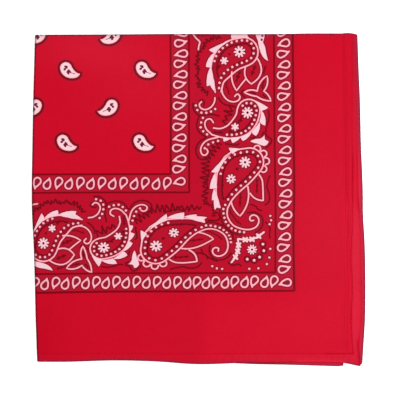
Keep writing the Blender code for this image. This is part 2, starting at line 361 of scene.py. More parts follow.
def edge_of_cut(name, spacing):
    """The outline of a quarter's cut, anticlockwise, and which of its points meet at the mitre."""
    count = int(270 / spacing)
    corners = [mitre(name, past) for past in HEM_LINES]
    outline = []
    for x in np.linspace(LEFT_LEVEL, corners[-1][1][0], count)[:-1]:
        outline.append((x, value(open_end, name, x) + ROLL - TURN))
    first_mitre, turns = len(outline), len(corners) - 1
    outline += [low_place for _, low_place in reversed(corners)]
    outline += [side_place for side_place, _ in corners[1:]]
    pairs = [(first_mitre + k, first_mitre + 2 * turns - k) for k in range(turns)]
    for y in np.linspace(corners[-1][0][1], ABOVE_FOLD, count)[1:-1]:
        outline.append((value(open_side, name, y) - ROLL + TURN, y))
    start = value(open_side, name, ABOVE_FOLD) - ROLL
    for past in reversed(HEM_LINES):
        outline.append((start + past, value(top_rim, name, start - inward(past))))
    for x in np.linspace(start, LEFT_LEVEL, count)[1:-1]:
        outline.append((x, value(top_rim, name, x)))
    corner_y = value(top_rim, name, FAR_LEFT)
    outline.append((value(left_rim, name, corner_y), corner_y))
    low_y = value(open_end, name, LEFT_LEVEL) + ROLL
    for y in np.linspace(BELOW_FOLD, low_y, count):
        outline.append((value(left_rim, name, y), y))
    for past in HEM_LINES[1:]:
        outline.append((value(left_rim, name, low_y + inward(past)), low_y - past))
    return np.array(outline), pairs


# Distances from a fold where the cut has rows of points: round the left fold for an outside and an
# inside quarter, and round a top fold.
ROUND_LEFT = {
    1: np.array((0.5, 1.0, 1.6, 2.2, 2.8, 3.4, 4.2, 5.4, 7.0, 9.0)),
    -1: np.array((0.25, 0.5, 0.8, 1.3, 2.2, 4.0, 6.5, 9.0)),
}
ROUND_TOP = np.array((0.3, 0.6, 0.9, 1.2, 1.6, 2.2, 3.2, 4.8, 7.0, 9.5))
PANEL_WIDE, PANEL_TALL = 276.0, 279.0
PANEL_PITCH = 3.3                          # between rows of points where the cloth lies calm


def panel_rows(near_fold, size, fine):
    """Where the panel's rows of points lie, as shares of its size: close at both ends."""
    near_hem = np.arange(0.45, 18.0, 0.45 if fine else 1.3)
    between = np.arange(12.0, size - 20, PANEL_PITCH)
    return np.concatenate([near_fold, between, size - near_hem[::-1]]) / size


def cut_lines(name, fine):
    """Points spread over a quarter's cut, closer at its folds and hems, and the rows to join up."""
    near = 1.0 if fine else 2.0
    across = panel_rows(ROUND_LEFT[QUARTERS[name].outside], PANEL_WIDE, fine)
    down = panel_rows(ROUND_TOP, PANEL_TALL, fine)
    points = []
    # The panel.
    s, t = (a.ravel() for a in np.meshgrid(across, down))
    x, y = np.full(s.size, 0.0), 140.0 - PANEL_TALL * t
    for _ in range(3):
        left, right = left_rim(name, y), open_side(name, y) - ROLL
        x = left + (right - left) * s
        top, low = top_rim(name, x), open_end(name, x) + ROLL
        y = top + (low - top) * t
    points.append(np.stack([x, y], 1))
    # More points along both hem strips, where the gathers are.
    if fine:
        y = np.arange(-128.0, 139.0, near)
        for off in np.arange(0.4, 9.0, 0.9):
            points.append(np.stack([open_side(name, y) - ROLL - off, y + 0.3 * (off % 2)], 1))
        x = np.arange(-136.0, 128.0, near)
        for off in np.arange(0.4, 9.0, 0.9):
            points.append(np.stack([x + 0.3 * (off % 2), open_end(name, x) + ROLL + off], 1))
    # The turned edges, each line of them joined along, so the rolled edge comes out clean.
    rows = []
    start = value(open_side, name, ABOVE_FOLD) - ROLL
    low_y = value(open_end, name, LEFT_LEVEL) + ROLL
    for past in HEM_LINES[:-1]:
        (_, lowest), (farthest, _) = mitre(name, past)
        top = value(top_rim, name, start - inward(past))
        y = np.arange(-141.0, 137.5, near * 1.5)
        y = np.concatenate([y[y > lowest + 0.4], top - ROUND_TOP[5::-1]])
        rows.append(np.stack([open_side(name, y) - ROLL + past, y], 1))
        left = value(left_rim, name, low_y + inward(past))
        x = np.arange(-135.0, 141.0, near * 1.5)
        x = np.concatenate([left + ROUND_TOP[:8], x[x < farthest - 0.4]])
        rows.append(np.stack([x, open_end(name, x) + ROLL - past], 1))
    joined, count = [], sum(len(p) for p in points)
    for row in rows:
        joined += [(k, k + 1) for k in range(count, count + len(row) - 1)]
        count += len(row)
    return np.concatenate(points + rows), joined


def part_of(name, x, y):
    """Which part of the cut each place belongs to."""
    past_side = x - (open_side(name, y) - ROLL)
    past_end = (open_end(name, x) + ROLL) - y
    part = np.zeros(len(x), int)
    part[(past_side > 1e-6) & (past_side >= past_end)] = 1
    part[(past_end > 1e-6) & (past_end > past_side)] = 2
    return part


# ==== The printed top quarter ====
# The cotton is dyed red and discharge printed. Motifs are drawn in steps of a drawing grid, and
# later ones lie over earlier ones. A field of small paisleys has a border of two bands.
STEP = 0.852                              # one step of the drawing grid
GRID_MIDDLE = (198.507, 199.711)          # the drawing's place under the middle of the folded cloth
RED = (0.520, 0.0016, 0.0160)             # the dyed ground
# Layers of ink, from the first that is printed to the last.
LAYERS = (
    "fringe", "ground", "bled", "shaded", "body", "dark", "halo", "pink", "light", "heart", "detail",
)
shapes = []                               # outline, ink and layer of everything printed


# How outlines, lines and dots of ink are drawn.
def print_in(outline, ink, layer):
    """Prints one filled outline."""
    shapes.append((np.asarray(outline, float), ink, layer))


def smooth_line(knots, each=4):
    """A flowing line through knots; a half width in a third column flows too."""
    knots = np.array(knots, float)
    gap = np.sqrt(np.linalg.norm(np.diff(knots[:, :2], axis=0), axis=1))[:, None]
    pace = np.diff(knots, axis=0) / gap
    slope = np.concatenate([
        pace[:1],
        (gap[1:] * pace[:-1] + gap[:-1] * pace[1:]) / (gap[:-1] + gap[1:]),
        pace[-1:],
    ])
    line = []
    for k in range(len(gap)):
        t = np.arange(each)[:, None] / each
        line.append(
            (2 * t**3 - 3 * t**2 + 1) * knots[k] + (t**3 - 2 * t**2 + t) * gap[k] * slope[k]
            + (3 * t**2 - 2 * t**3) * knots[k + 1] + (t**3 - t**2) * gap[k] * slope[k + 1]
        )
    return np.concatenate([*line, knots[-1:]])


def bent_line(corners, each):
    """A line from corner to corner; the third number bows the stretch that follows."""
    line = []
    for (x, y, bow), (next_x, next_y, _) in zip(corners, corners[1:]):
        t = np.arange(each) / each
        side = 4 * bow * t * (1 - t)
        length = math.hypot(next_x - x, next_y - y)
        line.append(np.stack([
            x + (next_x - x) * t - (next_y - y) / length * side,
            y + (next_y - y) * t + (next_x - x) / length * side,
        ], 1))
    return np.concatenate([*line, [corners[-1][:2]]])


def ways_of(line):
    """The way along a line at each of its points, and the way to its right."""
    along = np.gradient(line, axis=0)
    along /= np.maximum(np.linalg.norm(along, axis=1, keepdims=True), 1e-9)
    return along, np.stack([-along[:, 1], along[:, 0]], 1)


STRIP = 5                                 # stretches of a drawn line that go in one strip


def ribbon(line, width, ink, layer):
    """A drawn line of even width, laid as short strips."""
    line = np.asarray(line, float)[:, :2]
    across = ways_of(line)[1] * width / 2
    one, two = line + across, line - across
    for k in range(0, len(line) - 1, STRIP):
        print_in(np.concatenate([one[k:k + STRIP + 1], two[k:k + STRIP + 1][::-1]]), ink, layer)


def closed(line):
    """The line with its start at its end again."""
    return np.concatenate([line, line[:1]])


def disc(x, y, size, sides):
    """The outline of a round dot."""
    turn = np.arange(sides) * 2 * math.pi / sides
    return np.stack([np.cos(turn), np.sin(turn)], 1) * size + (x, y)


# The motifs that the border is made of.
LINE_LIGHT = (0.860, 0.395, 0.445)        # light lines and dots
RIM, RIM_PINK = 0.22, (0.740, 0.110, 0.175)    # a light line's rim, which keeps some of the red dye
HALO, HALO_RED = 1.5, (0.235, 0.0050, 0.0190)  # the dark edge round every light motif
BLED, BLED_RED = 3.4, (0.380, 0.0060, 0.0200)  # where that edge has bled into the ground


def light_line(line, width=1.27, ink=LINE_LIGHT, ends=True):
    """A light line with its dark edge and round ends."""
    ribbon(np.concatenate([line[:-1:3], line[-1:]]), width + 2 * BLED, BLED_RED, "bled")
    ribbon(line, width + 2 * HALO, HALO_RED, "halo")
    ribbon(line, width + 2 * RIM, RIM_PINK, "pink")
    ribbon(line, width, ink, "light")
    if ends:
        for x, y in (line[0][:2], line[-1][:2]):
            dot(x, y, width / 2, ink)


def light_curve(knots, each=4):
    """A light line through knots."""
    light_line(smooth_line(knots, each))


def dot(x, y, size, ink=LINE_LIGHT):
    """A light dot with its dark edge."""
    print_in(disc(x, y, size + HALO * 0.8, 8), HALO_RED, "halo")
    print_in(disc(x, y, size, 8), ink, "light")


def spot_of(x, y, size, ink, layer):
    """A plain dot of one ink."""
    print_in(disc(x, y, size, 7), ink, layer)


def outline_round(spine, grow=0.0):
    """The outline round a spine of middles and half widths, from tail to head and back."""
    spine = spine[spine[:, 2] + grow > 0.15]
    at, wide = spine[:, :2], spine[:, 2:] + grow
    along = np.gradient(at, axis=0)
    length = np.linalg.norm(along, axis=1, keepdims=True)
    lean = np.clip(-np.gradient(wide, axis=0) / length, -0.95, 0.95)
    along /= length
    across = np.stack([-along[:, 1], along[:, 0]], 1)
    square = np.sqrt(1 - lean**2)
    one = at + wide * (along * lean + across * square)
    two = at + wide * (along * lean - across * square)
    start = math.atan2(*(one[0] - at[0])[::-1])
    stop = math.atan2(*(two[0] - at[0])[::-1])
    back = math.atan2(-along[0, 1], -along[0, 0])
    sweep = (stop - start) % (2 * math.pi)
    if (back - start) % (2 * math.pi) > sweep:
        sweep -= 2 * math.pi
    turn = start + sweep * np.arange(1, 10) / 10
    head = at[0] + wide[0] * np.stack([np.cos(turn), np.sin(turn)], 1)
    line = np.concatenate([one[::-1], head, two])
    away = np.linalg.norm(line[:, None] - at[None], axis=2)
    return line[(away > wide[None, :, 0] * 0.975 - 0.02).all(1)]


def beside(spine, inset):
    """The line that runs inside a paisley's outline, from its tail round the head and back."""
    slim = spine.copy()
    slim[:, 2] = np.maximum(slim[:, 2] - inset, 0.2)
    return outline_round(slim)


def spaced(line, pitch, start=0.0, end=None):
    """Places an even distance apart along a line."""
    run = np.concatenate([[0], np.cumsum(np.linalg.norm(np.diff(line, axis=0), axis=1))])
    end = run[-1] if end is None else end
    at = np.arange(start, end, pitch)
    return np.stack([np.interp(at, run, line[:, k]) for k in (0, 1)], 1)


def dots_on(line, pitch, start=0.0, end=None):
    """A row of light dots along a line."""
    places = spaced(line, pitch, start, end)
    ribbon(places, 6.0, BLED_RED, "bled")
    for x, y in places:
        dot(x, y, 1.25)


def dots_along(knots, pitch=4.9):
    """A row of light dots through knots."""
    dots_on(smooth_line(knots), pitch)


LIGHT = (0.835, 0.510, 0.562)             # broad light shapes
GREY = (0.710, 0.545, 0.592)              # their greyer middles
SEED = (0.020, 0.010, 0.012)


def filled(corners, grey=True):
    """A light shape with bowed edges; its middle is greyer."""
    line = bent_line((*corners, corners[0]), 4)[:-1]
    ribbon(closed(line[::3]), 2 * BLED, BLED_RED, "bled")
    ribbon(closed(line), 2 * HALO, HALO_RED, "halo")
    ribbon(closed(line), 2 * RIM, RIM_PINK, "pink")
    print_in(line, LIGHT, "light")
    if grey:
        middle = line.mean(0)
        print_in(middle + (line - middle) * 0.5, GREY, "detail")


def daisy(x, y, size, petals, turn=0.3):
    """A light daisy with a dark seed."""
    ring = []
    for k in range(petals * 4):
        angle = turn + 2 * math.pi * k / (petals * 4)
        reach = size * (1.0, 0.88, 0.46, 0.88)[k % 4]
        ring.append((x + reach * math.cos(angle), y + reach * math.sin(angle)))
    ribbon(closed(np.array(ring)), 2 * HALO, HALO_RED, "halo")
    print_in(ring, LIGHT, "light")
    spot_of(x, y, 0.22 * size, GREY if size < 5 else SEED, "detail")


SHADE_RED = (0.156, 0.0016, 0.0072)       # thin shading lines


def jagged(knots, reach, pitch, width, seed):
    """A dark zigzag along a way, as uneven as a brush leaves it."""
    way = spaced(smooth_line(knots, 8), pitch)
    along, across = ways_of(way)
    draw = np.random.default_rng(seed)
    side = np.where(np.arange(len(way)) % 2, 1.0, -1.0) * draw.uniform(0.3, 1.2, len(way))
    slip = draw.uniform(-0.35, 0.35, len(way)) * min(reach, 1.0) * pitch
    way = way + across * (side * reach)[:, None] + along * slip[:, None]
    for a, b in zip(way, way[1:]):
        d = b - a
        n = np.array((-d[1], d[0])) / max(np.linalg.norm(d), 1e-6) * width / 2
        print_in((a + n, b + n, b - n, a - n), SHADE_RED, "dark")


def wavy(knots, reach, seed):
    """A dark contour that wavers."""
    jagged(knots, reach, 1.7, 1.6, seed)


BODY_RED = (0.420, 0.0040, 0.0200)        # the ground inside a great paisley
DEEP_RED = (0.330, 0.0030, 0.0180)        # the shaded rim inside it
SCALLOP_WIDE, SCALLOP_DEEP, SCALLOP_STEP = 4.9, 0.55, 1.25


def shaded_rim(spine):
    """The darker rim inside a great paisley, closed by a scalloped dark line."""
    print_in(outline_round(spine), DEEP_RED, "shaded")
    print_in(outline_round(spine, -5.2), BODY_RED, "body")
    line = spaced(outline_round(spine, -5.7), SCALLOP_STEP)
    out = SCALLOP_DEEP * np.abs(np.sin(np.arange(len(line)) * SCALLOP_STEP * math.pi / SCALLOP_WIDE))
    ribbon(line + ways_of(line)[1] * out[:, None], 1.7, SHADE_RED, "dark")


def strokes(x, y, lean, count, length=2.8, gap=1.5):
    """A row of short dark brush strokes along a vein."""
    along = np.array((math.cos(lean), math.sin(lean)))
    across = np.array((-along[1], along[0]))
    stem = np.array((x, y)) + along * gap * np.array((0, count))[:, None]
    ribbon(stem, 1.25, SHADE_RED, "dark")
    for k in range(count):
        foot = np.array((x, y)) + along * gap * k
        reach = length * (0.6 + 0.4 * math.sin(1.9 * k + x))
        for way in (1, -1):
            tip = foot + across * way * reach * 0.75 - along * reach * 0.6
            ribbon((foot, tip), 1.0, SHADE_RED, "dark")


# The border between two bands, each closed by two dark lines that run from the left fold to the
# corner and then up to the top fold.
BORDER_RED = (0.444, 0.0026, 0.0190)
BAND_RED = (0.414, 0.0060, 0.0230)
LINE_RED = (0.195, 0.0004, 0.0045)        # lines that close the bands
FRINGE_RED = (0.480, 0.0024, 0.0165)      # the ground beside the outermost line
FAR = 26.0                                # safely past the folds
BAND_LINES = (
    # Width of each line, its knots along the bottom, and those up the side.
    (1.9, ((FAR, 174.6), (100, 174.3), (170.6, 174.2)), ((170.6, 174.2), (170.8, 100), (170.4, FAR))),
    (1.8, ((FAR, 193.0), (100, 192.4), (189.2, 192.4)), ((189.2, 192.4), (189.0, 100), (188.9, FAR))),
    (1.9, ((FAR, 274.2), (60, 273.8), (110, 273.2), (200, 273.0), (275.2, 272.4)),
     ((275.2, 272.4), (275.4, 200), (274.6, 150), (273.8, FAR))),
    (2.2, ((FAR, 293.0), (60, 292.3), (100, 291.5), (200, 291.2), (294.2, 290.6)),
     ((294.2, 290.6), (293.3, 235), (294.1, 190), (293.2, 120), (292.4, FAR))),
)
band_lines = [
    np.concatenate([spaced(smooth_line(knots, 12), 3.0) for knots in both_arms])
    for _, *both_arms in BAND_LINES
]
outermost = band_lines[3]
ribbon(outermost[outermost[:, 0] > 292.0], 8.0, FRINGE_RED, "fringe")
for one, other, ink in ((1, 2, BORDER_RED), (0, 1, BAND_RED), (2, 3, BAND_RED)):
    print_in(np.concatenate([band_lines[one], band_lines[other][::-1]]), ink, "ground")
for line, (width, *_) in zip(band_lines, BAND_LINES):
    ribbon(line, width, LINE_RED, "dark")

# Drops fill both bands, two ways up in turn. A drop is a ring drawn out to a point.
DROP_SIZE = 4.28
DROP_RED = (0.240, 0.0080, 0.0250)        # its dark middle


def drop(x, y, tip_x, tip_y):
    """A light ring drawn out to a point, with a dark middle."""
    along = np.array((tip_x - x, tip_y - y))
    side = np.array((-along[1], along[0])) * 0.05
    spine = smooth_line([
        (x, y, DROP_SIZE),
        (x + along[0] * 0.36 + side[0], y + along[1] * 0.36 + side[1], DROP_SIZE * 0.74),
        (x + along[0] * 0.70 + side[0], y + along[1] * 0.70 + side[1], DROP_SIZE * 0.36),
        (tip_x, tip_y, DROP_SIZE * 0.08),
    ], 2)
    print_in(outline_round(spine, 1.3), HALO_RED, "halo")
    print_in(outline_round(spine, 0.15), RIM_PINK, "pink")
    print_in(outline_round(spine, -0.08), LINE_LIGHT, "light")
    print_in(outline_round(spine[:5], -1.62), DROP_RED, "detail")


# How far the printed repeat strays, across and down, at places along each band.
INNER_SIDE = (
    (43, 1.4, 0.4), (64, 1.0, -0.1), (85, 0.5, -0.3), (127, -0.1, -0.1), (150, -0.5, 0.0),
    (170, -0.4, 0.1),
)
INNER_LOW = ((45, -0.7, 0.5), (110, -0.6, 0.5), (150, -0.3, 0.6), (170, 0.2, 0.7))
OUTER_SIDE = (
    (55, 0.0, -0.2), (76, 0.0, -0.6), (140, 0.2, -1.0), (205, 0.5, -0.5), (218, 0.4, -0.7),
    (232, -1.0, -0.6), (246, -1.6, 0.0), (270, -0.9, 0.3), (283, -0.1, 0.3),
)
OUTER_LOW = (
    (45, -0.9, 0.5), (86, -0.8, -0.1), (127, -0.9, -0.5), (150, -0.3, -0.2), (188, 0.8, 0.1),
    (210, -0.4, 0.3), (232, -1.0, 0.0), (250, -0.7, -0.4), (270, -0.1, -0.4),
)


def drop_in(strays, x, y, tip_x, tip_y):
    """A drop of one band, moved as its repeat strays there; the tip is given from its middle."""
    at, across, down = np.transpose(strays)
    along = x if strays in (INNER_LOW, OUTER_LOW) else y
    side, fall = np.interp(along, at, across), np.interp(along, at, down)
    drop(x + side, y + fall, x + side + tip_x, y + fall + tip_y)


# Two rows to a band, from the fold to the corner: where a drop's middle lies and where it points.
for k in range(-1, 7):
    drop_in(INNER_SIDE, 176.8, 43.15 + 21.0 * k, 9.1, -2.5)
    if k < 6:
        drop_in(INNER_SIDE, 182.7, 53.6 + 21.05 * k, -9.7, 2.2)
drop_in(INNER_SIDE, 181.8, 181.2, -8.2, 2.6)
for k in range(-1, 7):
    drop_in(INNER_LOW, 38.4 + 21.5 * k, 180.6, -2.6, 8.3)
    if k < 6:
        drop_in(INNER_LOW, 47.8 + 21.65 * k, 184.9, 2.6, -7.7)
for k in range(-1, 11):
    lean = 0.010 * 21.45 * k
    drop_in(OUTER_SIDE, 280.6 + lean, 54.6 + 21.45 * k, 8.9, -3.1)
    if k < 10:
        drop_in(OUTER_SIDE, 286.1 + lean, 64.9 + 21.5 * k, -8.4, 3.0)
drop_in(OUTER_SIDE, 285.9, 43.0, -8.3, 3.2)
drop_in(OUTER_SIDE, 287.6, 282.0, -8.9, 2.6)
for k in range(0, 13):
    drop_in(OUTER_LOW, 36.85 + 20.45 * k - 0.055 * k * k, 280.6 - 0.06 * k, -2.7, 8.0)
    if k < 12:
        drop_in(OUTER_LOW, 45.6 + 20.45 * k - 0.05 * k * k, 285.2 - 0.12 * k, 2.5, -7.8)


# The small paisleys of the field, each a drop-shaped body with its tip to one side, and a sprig.
PINK, PALE_PINK = (0.830, 0.400, 0.455), (0.865, 0.545, 0.585)     # a body's rim and its middle
OUTLINE_RED = (0.190, 0.0010, 0.0065)
SPRIG, STEM = (0.130, 0.0100, 0.0300), (0.300, 0.1500, 0.1800)
# Middles and half widths along a body, and middle and half width of each leaf of its sprig.
SMALL_BODY = (
    (-0.2, -1.0, 5.85), (0.9, 1.4, 5.85), (3.3, 3.7, 5.15), (6.9, 5.5, 3.7), (10.2, 6.0, 2.25),
    (12.4, 5.5, 1.0), (13.7, 4.9, 0.3),
)
SMALL_SPRIG = (
    (-0.9, -2.5, 1.1), (0.4, -2.1, 1.35), (0.9, -1.3, 0.9), (-1.4, 0.3, 1.3), (-0.4, -0.6, 0.9),
    (2.6, 1.6, 1.4), (1.5, 3.0, 1.3), (3.6, 2.7, 1.25), (2.3, 4.4, 1.25), (4.5, 3.4, 0.7),
)


def small_paisley(x, y, way):
    """A light paisley of the field: dark edge, pinkish body and a dark sprig; way 1 points right."""
    spine = smooth_line([(x + way * a, y + b, wide) for a, b, wide in SMALL_BODY])
    body = outline_round(spine)
    ribbon(closed(body[::2]), 7.6, BLED_RED, "bled")
    past_tip = [(x + way * a, y + b) for a, b in ((12.0, 5.9), (14.0, 5.6), (16.0, 4.9))]
    ribbon(past_tip, 2.6, OUTLINE_RED, "dark")
    ribbon(closed(body), 4.8, OUTLINE_RED, "halo")
    print_in(body, PINK, "light")
    print_in(outline_round(spine, -0.8), PALE_PINK, "heart")
    for a, b, size in SMALL_SPRIG:
        spot_of(x + way * a, y + b, size, SPRIG, "detail")
    ribbon([(x + way * a, y + b) for a, b in ((4.9, 3.7), (7.0, 4.4), (9.0, 5.1))], 0.9, STEM, "detail")


for x, y, way in (
    (66.3, 69.2, 1), (142.0, 68.8, 1), (63.2, 141.7, 1), (139.7, 141.6, 1),
    (36.0, 106.5, -1), (111.7, 106.6, -1), (40.2, 34.4, -1), (114.5, 34.9, -1),
):
    small_paisley(x, y, way)


# The border's side arm, from the top fold down to the corner.
def on_both_arms(draw, up, across, squeeze=0.0, level=247.0, stretch=0.0, start=0.0, lift=0.0):
    """Draws a motif for the side arm, and repeats it on the lower arm with its own small shifts."""
    since = len(shapes)
    draw()
    for outline, ink, layer in shapes[since:]:
        x, y = outline[:, 1] - up, outline[:, 0] + across
        y = y - squeeze * (y - level) - lift * ease((x - 178.0) / 30.0) * ease((y - 226.0) / 22.0)
        print_in(np.stack([x + stretch * (x - start), y], 1), ink, layer)


def first_great_paisley():
    """The first great paisley: dotted outline, daisies, feathers and two veined leaves."""
    spine = smooth_line((
        (243.7, 52.0, 14.3), (231.0, 56.6, 14.9), (222.3, 68.0, 11.4), (218.6, 80, 5.6),
        (218.2, 92, 3.0),
    ), 5)
    edge = beside(spine, 0.0)
    tail = smooth_line((
        (221.6, 88), (222.6, 94), (227, 99.8), (233, 102), (238.4, 100.4), (239.9, 96.8),
        (237.4, 94.2), (234.6, 96.6),
    ))
    light_line(np.concatenate([edge, tail]))
    dots_along((
        (214.4, 61.3), (217.0, 54.6), (222.4, 48.6), (231.0, 43.0), (241.4, 40.6), (248.2, 41.3),
        (252.8, 46.0), (253.8, 52.4), (250.8, 58.6), (241.0, 63.4), (231.4, 67.6), (223.4, 74.2),
        (219.8, 81.6), (218.6, 92.8),
    ), 5.25)
    shaded_rim(spine)
    daisy(239.5, 52, 6.0, 9)
    daisy(224.2, 61, 4.1, 6, 0.1)
    spot_of(229.4, 54.5, 1.3, SHADE_RED, "dark")
    filled(((231.5, 40.4, 0.5), (209.0, 50.0, 0.6), (215.4, 53.2, -1.4)))
    filled(((214.2, 52.8, 1.7), (205.8, 66.8, 0.5), (211.6, 67.2, -0.8)))
    filled((
        (210.6, 66.8, 1.5), (206.8, 86.2, 0.2), (210.0, 85.0, 0.2), (213.9, 91.2, 1.0),
        (213.2, 78, 0.3),
    ))
    filled(((231.3, 34.6, 0.4), (231.6, 38.9, -0.8), (249.6, 38.6, -0.6), (247, 34.2, 0)), grey=False)
    light_line(bent_line(((256.8, 58.0, -7.2), (251.2, 84.2, -3.6), (245.8, 66.2, 0)), 8), ends=False)
    light_line(bent_line(((246.2, 78.6, 0.2), (236.6, 90.8, -2.0), (231.8, 71.6, 0)), 8), ends=False)
    strokes(255.2, 66.0, 1.95, 7)
    strokes(239.6, 72.6, 1.95, 7)
    strokes(219.4, 66.0, 2.1, 4, 2.4)
    jagged(((226.5, 80), (226.6, 87), (229.4, 94.6)), 0.9, 1.5, 1.15, seed=13)
    jagged((
        (220, 36.6), (212.6, 38.6), (206, 42), (202.6, 48), (198.6, 54), (197.0, 62), (198.0, 72),
        (198.0, 82), (201.4, 89.4), (208.4, 94.6),
    ), 2.5, 1.9, 1.7, seed=14)
    ribbon(smooth_line(((197, 35.8), (207, 36.2), (217, 35.2))), 0.9, SHADE_RED, "dark")
    wavy(((265.6, 66.0), (264.4, 70.0), (262.8, 74.4)), 0.8, seed=15)
    wavy(((244.0, 90.0), (241.2, 92.4), (243.6, 96.6), (248.0, 99.6), (253, 101.4)), 0.4, seed=16)
    wavy(((218.0, 97.5), (220.8, 101.6), (225.4, 105.0), (231.4, 105.6)), 0.3, seed=17)


on_both_arms(
    first_great_paisley, up=8.0, across=3.9, squeeze=0.02, level=235.0,
    stretch=-0.042, start=36.0,
)


def leaf_at_fold():
    """A leaf that hangs in from the fold."""
    filled((
        (262.0, 41.8, -0.6), (265.4, 50.0, 0.3), (268.0, 61.0, -0.8), (261.6, 54.8, -0.3),
        (258.6, 45.0, 0), (258.0, 41.8, 0),
    ))
    filled(((254.2, 31, 0.2), (258.8, 43.0, 0), (262.4, 43.4, 0.4), (265.2, 31, 0)), grey=False)
    spot_of(261.6, 40.0, 1.3, HALO_RED, "detail")
    spot_of(262.2, 36.0, 1.3, HALO_RED, "detail")
    spot_of(259.0, 34.2, 1.0, HALO_RED, "detail")


on_both_arms(leaf_at_fold, up=8.0, across=4.0, squeeze=0.06)


def bent_light_line():
    """A bent light line that comes in from the fold."""
    light_curve(((191.5, 32), (196, 38.4), (199.8, 42.2), (198.9, 45.8), (198.3, 50)), 3)


on_both_arms(bent_light_line, up=12.0, across=5.5)


def three_point_leaf():
    """A veined leaf of three points."""
    three = (
        (257.2, 91.4, -2.3), (266.9, 76, -2.0), (263.7, 91.4, -1.3), (270.8, 101.1, -1.2),
        (256.8, 96.6, -0.6), (244.0, 92.5, -1.8), (257.2, 91.4, 0),
    )
    light_line(bent_line(three, 6), ends=False)
    strokes(263.6, 80.6, 1.75, 6, 1.8)
    shade = smooth_line(((255.4, 93.6, 0.5), (252.6, 93.2, 1.5), (248.0, 92.8, 0.4)), 3)
    print_in(outline_round(shade), SHADE_RED, "dark")
    wavy(((262.4, 94.6), (264.4, 96.6), (267.6, 98.6)), 0.5, seed=21)


on_both_arms(three_point_leaf, up=9.3, across=2.0, squeeze=0.025)


def short_curl():
    """A short curl with loose dots."""
    light_curve((
        (215, 97.8), (214.2, 102.6), (210.8, 107.4), (204.8, 109.8), (200.4, 107.8), (199.4, 104.4),
        (201.6, 101.8),
    ))
    dots_along((
        (215.2, 109.2), (210.6, 111.9), (205, 113), (199.9, 112.4), (197, 109.7), (195.8, 105.4),
    ))
    wavy((
        (193.0, 103), (193.4, 109.4), (196.6, 113.6), (200.4, 115.8), (210.6, 114.4), (216.4, 115.4),
        (220, 116.4),
    ), 0.35, seed=22)
    wavy(((198.6, 101.4), (202.4, 99.6), (204.4, 103.6), (203.4, 106.4)), 0.3, seed=23)


on_both_arms(short_curl, up=9.4, across=3.0, squeeze=0.03, level=211.0)


def second_great_paisley():
    """The second, which faces the other way, with feathers below and two curling ends."""
    spine = smooth_line((
        (248.6, 110.8, 11.4), (246.6, 118.4, 11.2), (241.4, 125.6, 10.4), (231, 131.6, 6.9),
        (220.4, 132.9, 4.2), (212.6, 131.4, 3.4),
    ), 5)
    body = beside(spine, 0.0)[::-1]
    curl = smooth_line((
        (211.6, 134.4), (206.2, 129), (204.8, 123.6), (206.8, 119.8), (210.6, 119.2), (213.4, 122.8),
    ))
    light_line(body, ends=False)
    light_line(np.concatenate([body[:1], curl]))
    light_curve((
        (218, 137.4), (207.4, 140.2), (202.2, 145), (200.6, 150.6), (202.8, 155), (206, 154.8),
        (207.8, 151.8), (206.6, 149),
    ))
    dots_on(beside(spine, 3.5)[::-1], 4.8, start=14.8, end=80.0)
    shaded_rim(spine)
    dots_along(((202.9, 118), (200.9, 123.8), (200.9, 128.8), (204.4, 132.4), (209.8, 136.6)))
    dots_along(((218, 141), (212.5, 142.7), (207.6, 145), (203.9, 149.4)), 5.2)
    wavy((
        (199.8, 115.8), (197.4, 121), (197.0, 128.6), (201.0, 134), (206.2, 137.6), (201.2, 140.4),
        (196.8, 146), (196.2, 153), (199.4, 158.6), (205.0, 159.6), (209.6, 156),
    ), 0.35, seed=32)
    wavy(((268.4, 110.6), (268.8, 116.2), (267.6, 123.6), (265.6, 129.6), (267.2, 132.4)), 0.5, seed=33)
    wavy(((258.6, 135.6), (254.4, 137.4), (250.4, 138.4)), 0.4, seed=34)
    wavy(((239.6, 143.6), (235.4, 145.4), (229.2, 144.4), (224.4, 144.0)), 0.4, seed=35)
    strokes(214.6, 132.6, 0.0, 5, 1.6, 1.7)
    daisy(247.4, 112.8, 6.0, 9, 0.1)
    daisy(235.0, 127.0, 4.1, 6, 0.5)
    spot_of(241, 121, 1.3, SHADE_RED, "dark")
    filled(((254, 100.4, -0.6), (268, 107.9, -0.4), (260.6, 111, 1.0)))
    filled(((261, 110, -2.0), (265.0, 125.6, -0.8), (259.4, 121.4, 0.6)))
    filled(((259.6, 122, -1.6), (256.0, 135.8, -0.8), (251.6, 131.6, 0.5)))
    filled(((251.6, 132, -1.2), (243.0, 141.0, -0.6), (240.6, 136.6, 0.4)))
    filled(((240.6, 137, -0.8), (232.6, 143.0, -0.5), (231.0, 137.8, 0)), grey=False)
    filled(((231.0, 138, -0.6), (223.8, 141.6, -0.4), (223.6, 137.8, 0)), grey=False)
    jagged((
        (232, 104.0), (228.4, 109), (227.2, 114), (225.6, 119.4), (223, 125.4),
    ), 5.8, 2.9, 1.65, seed=31)


on_both_arms(second_great_paisley, up=9.0, across=0.1, squeeze=0.085, stretch=0.02, start=100.0)


def light_bud():
    """A light bud."""
    filled((
        (250.3, 141.4, -0.8), (259.6, 139.0, 0.6), (264.4, 135.2, 0.2), (264.8, 139.6, 0.2),
        (268.4, 141.4, -0.9), (264.4, 145.9, -0.3), (257, 143.4, -0.4),
    ))
    wavy((
        (261.4, 136.0), (264.6, 131.8), (266.8, 136.4), (271.4, 139.4), (270.6, 143.6), (265.6, 148),
    ), 0.35, seed=36)


on_both_arms(light_bud, up=6.8, across=0.4, squeeze=0.04)


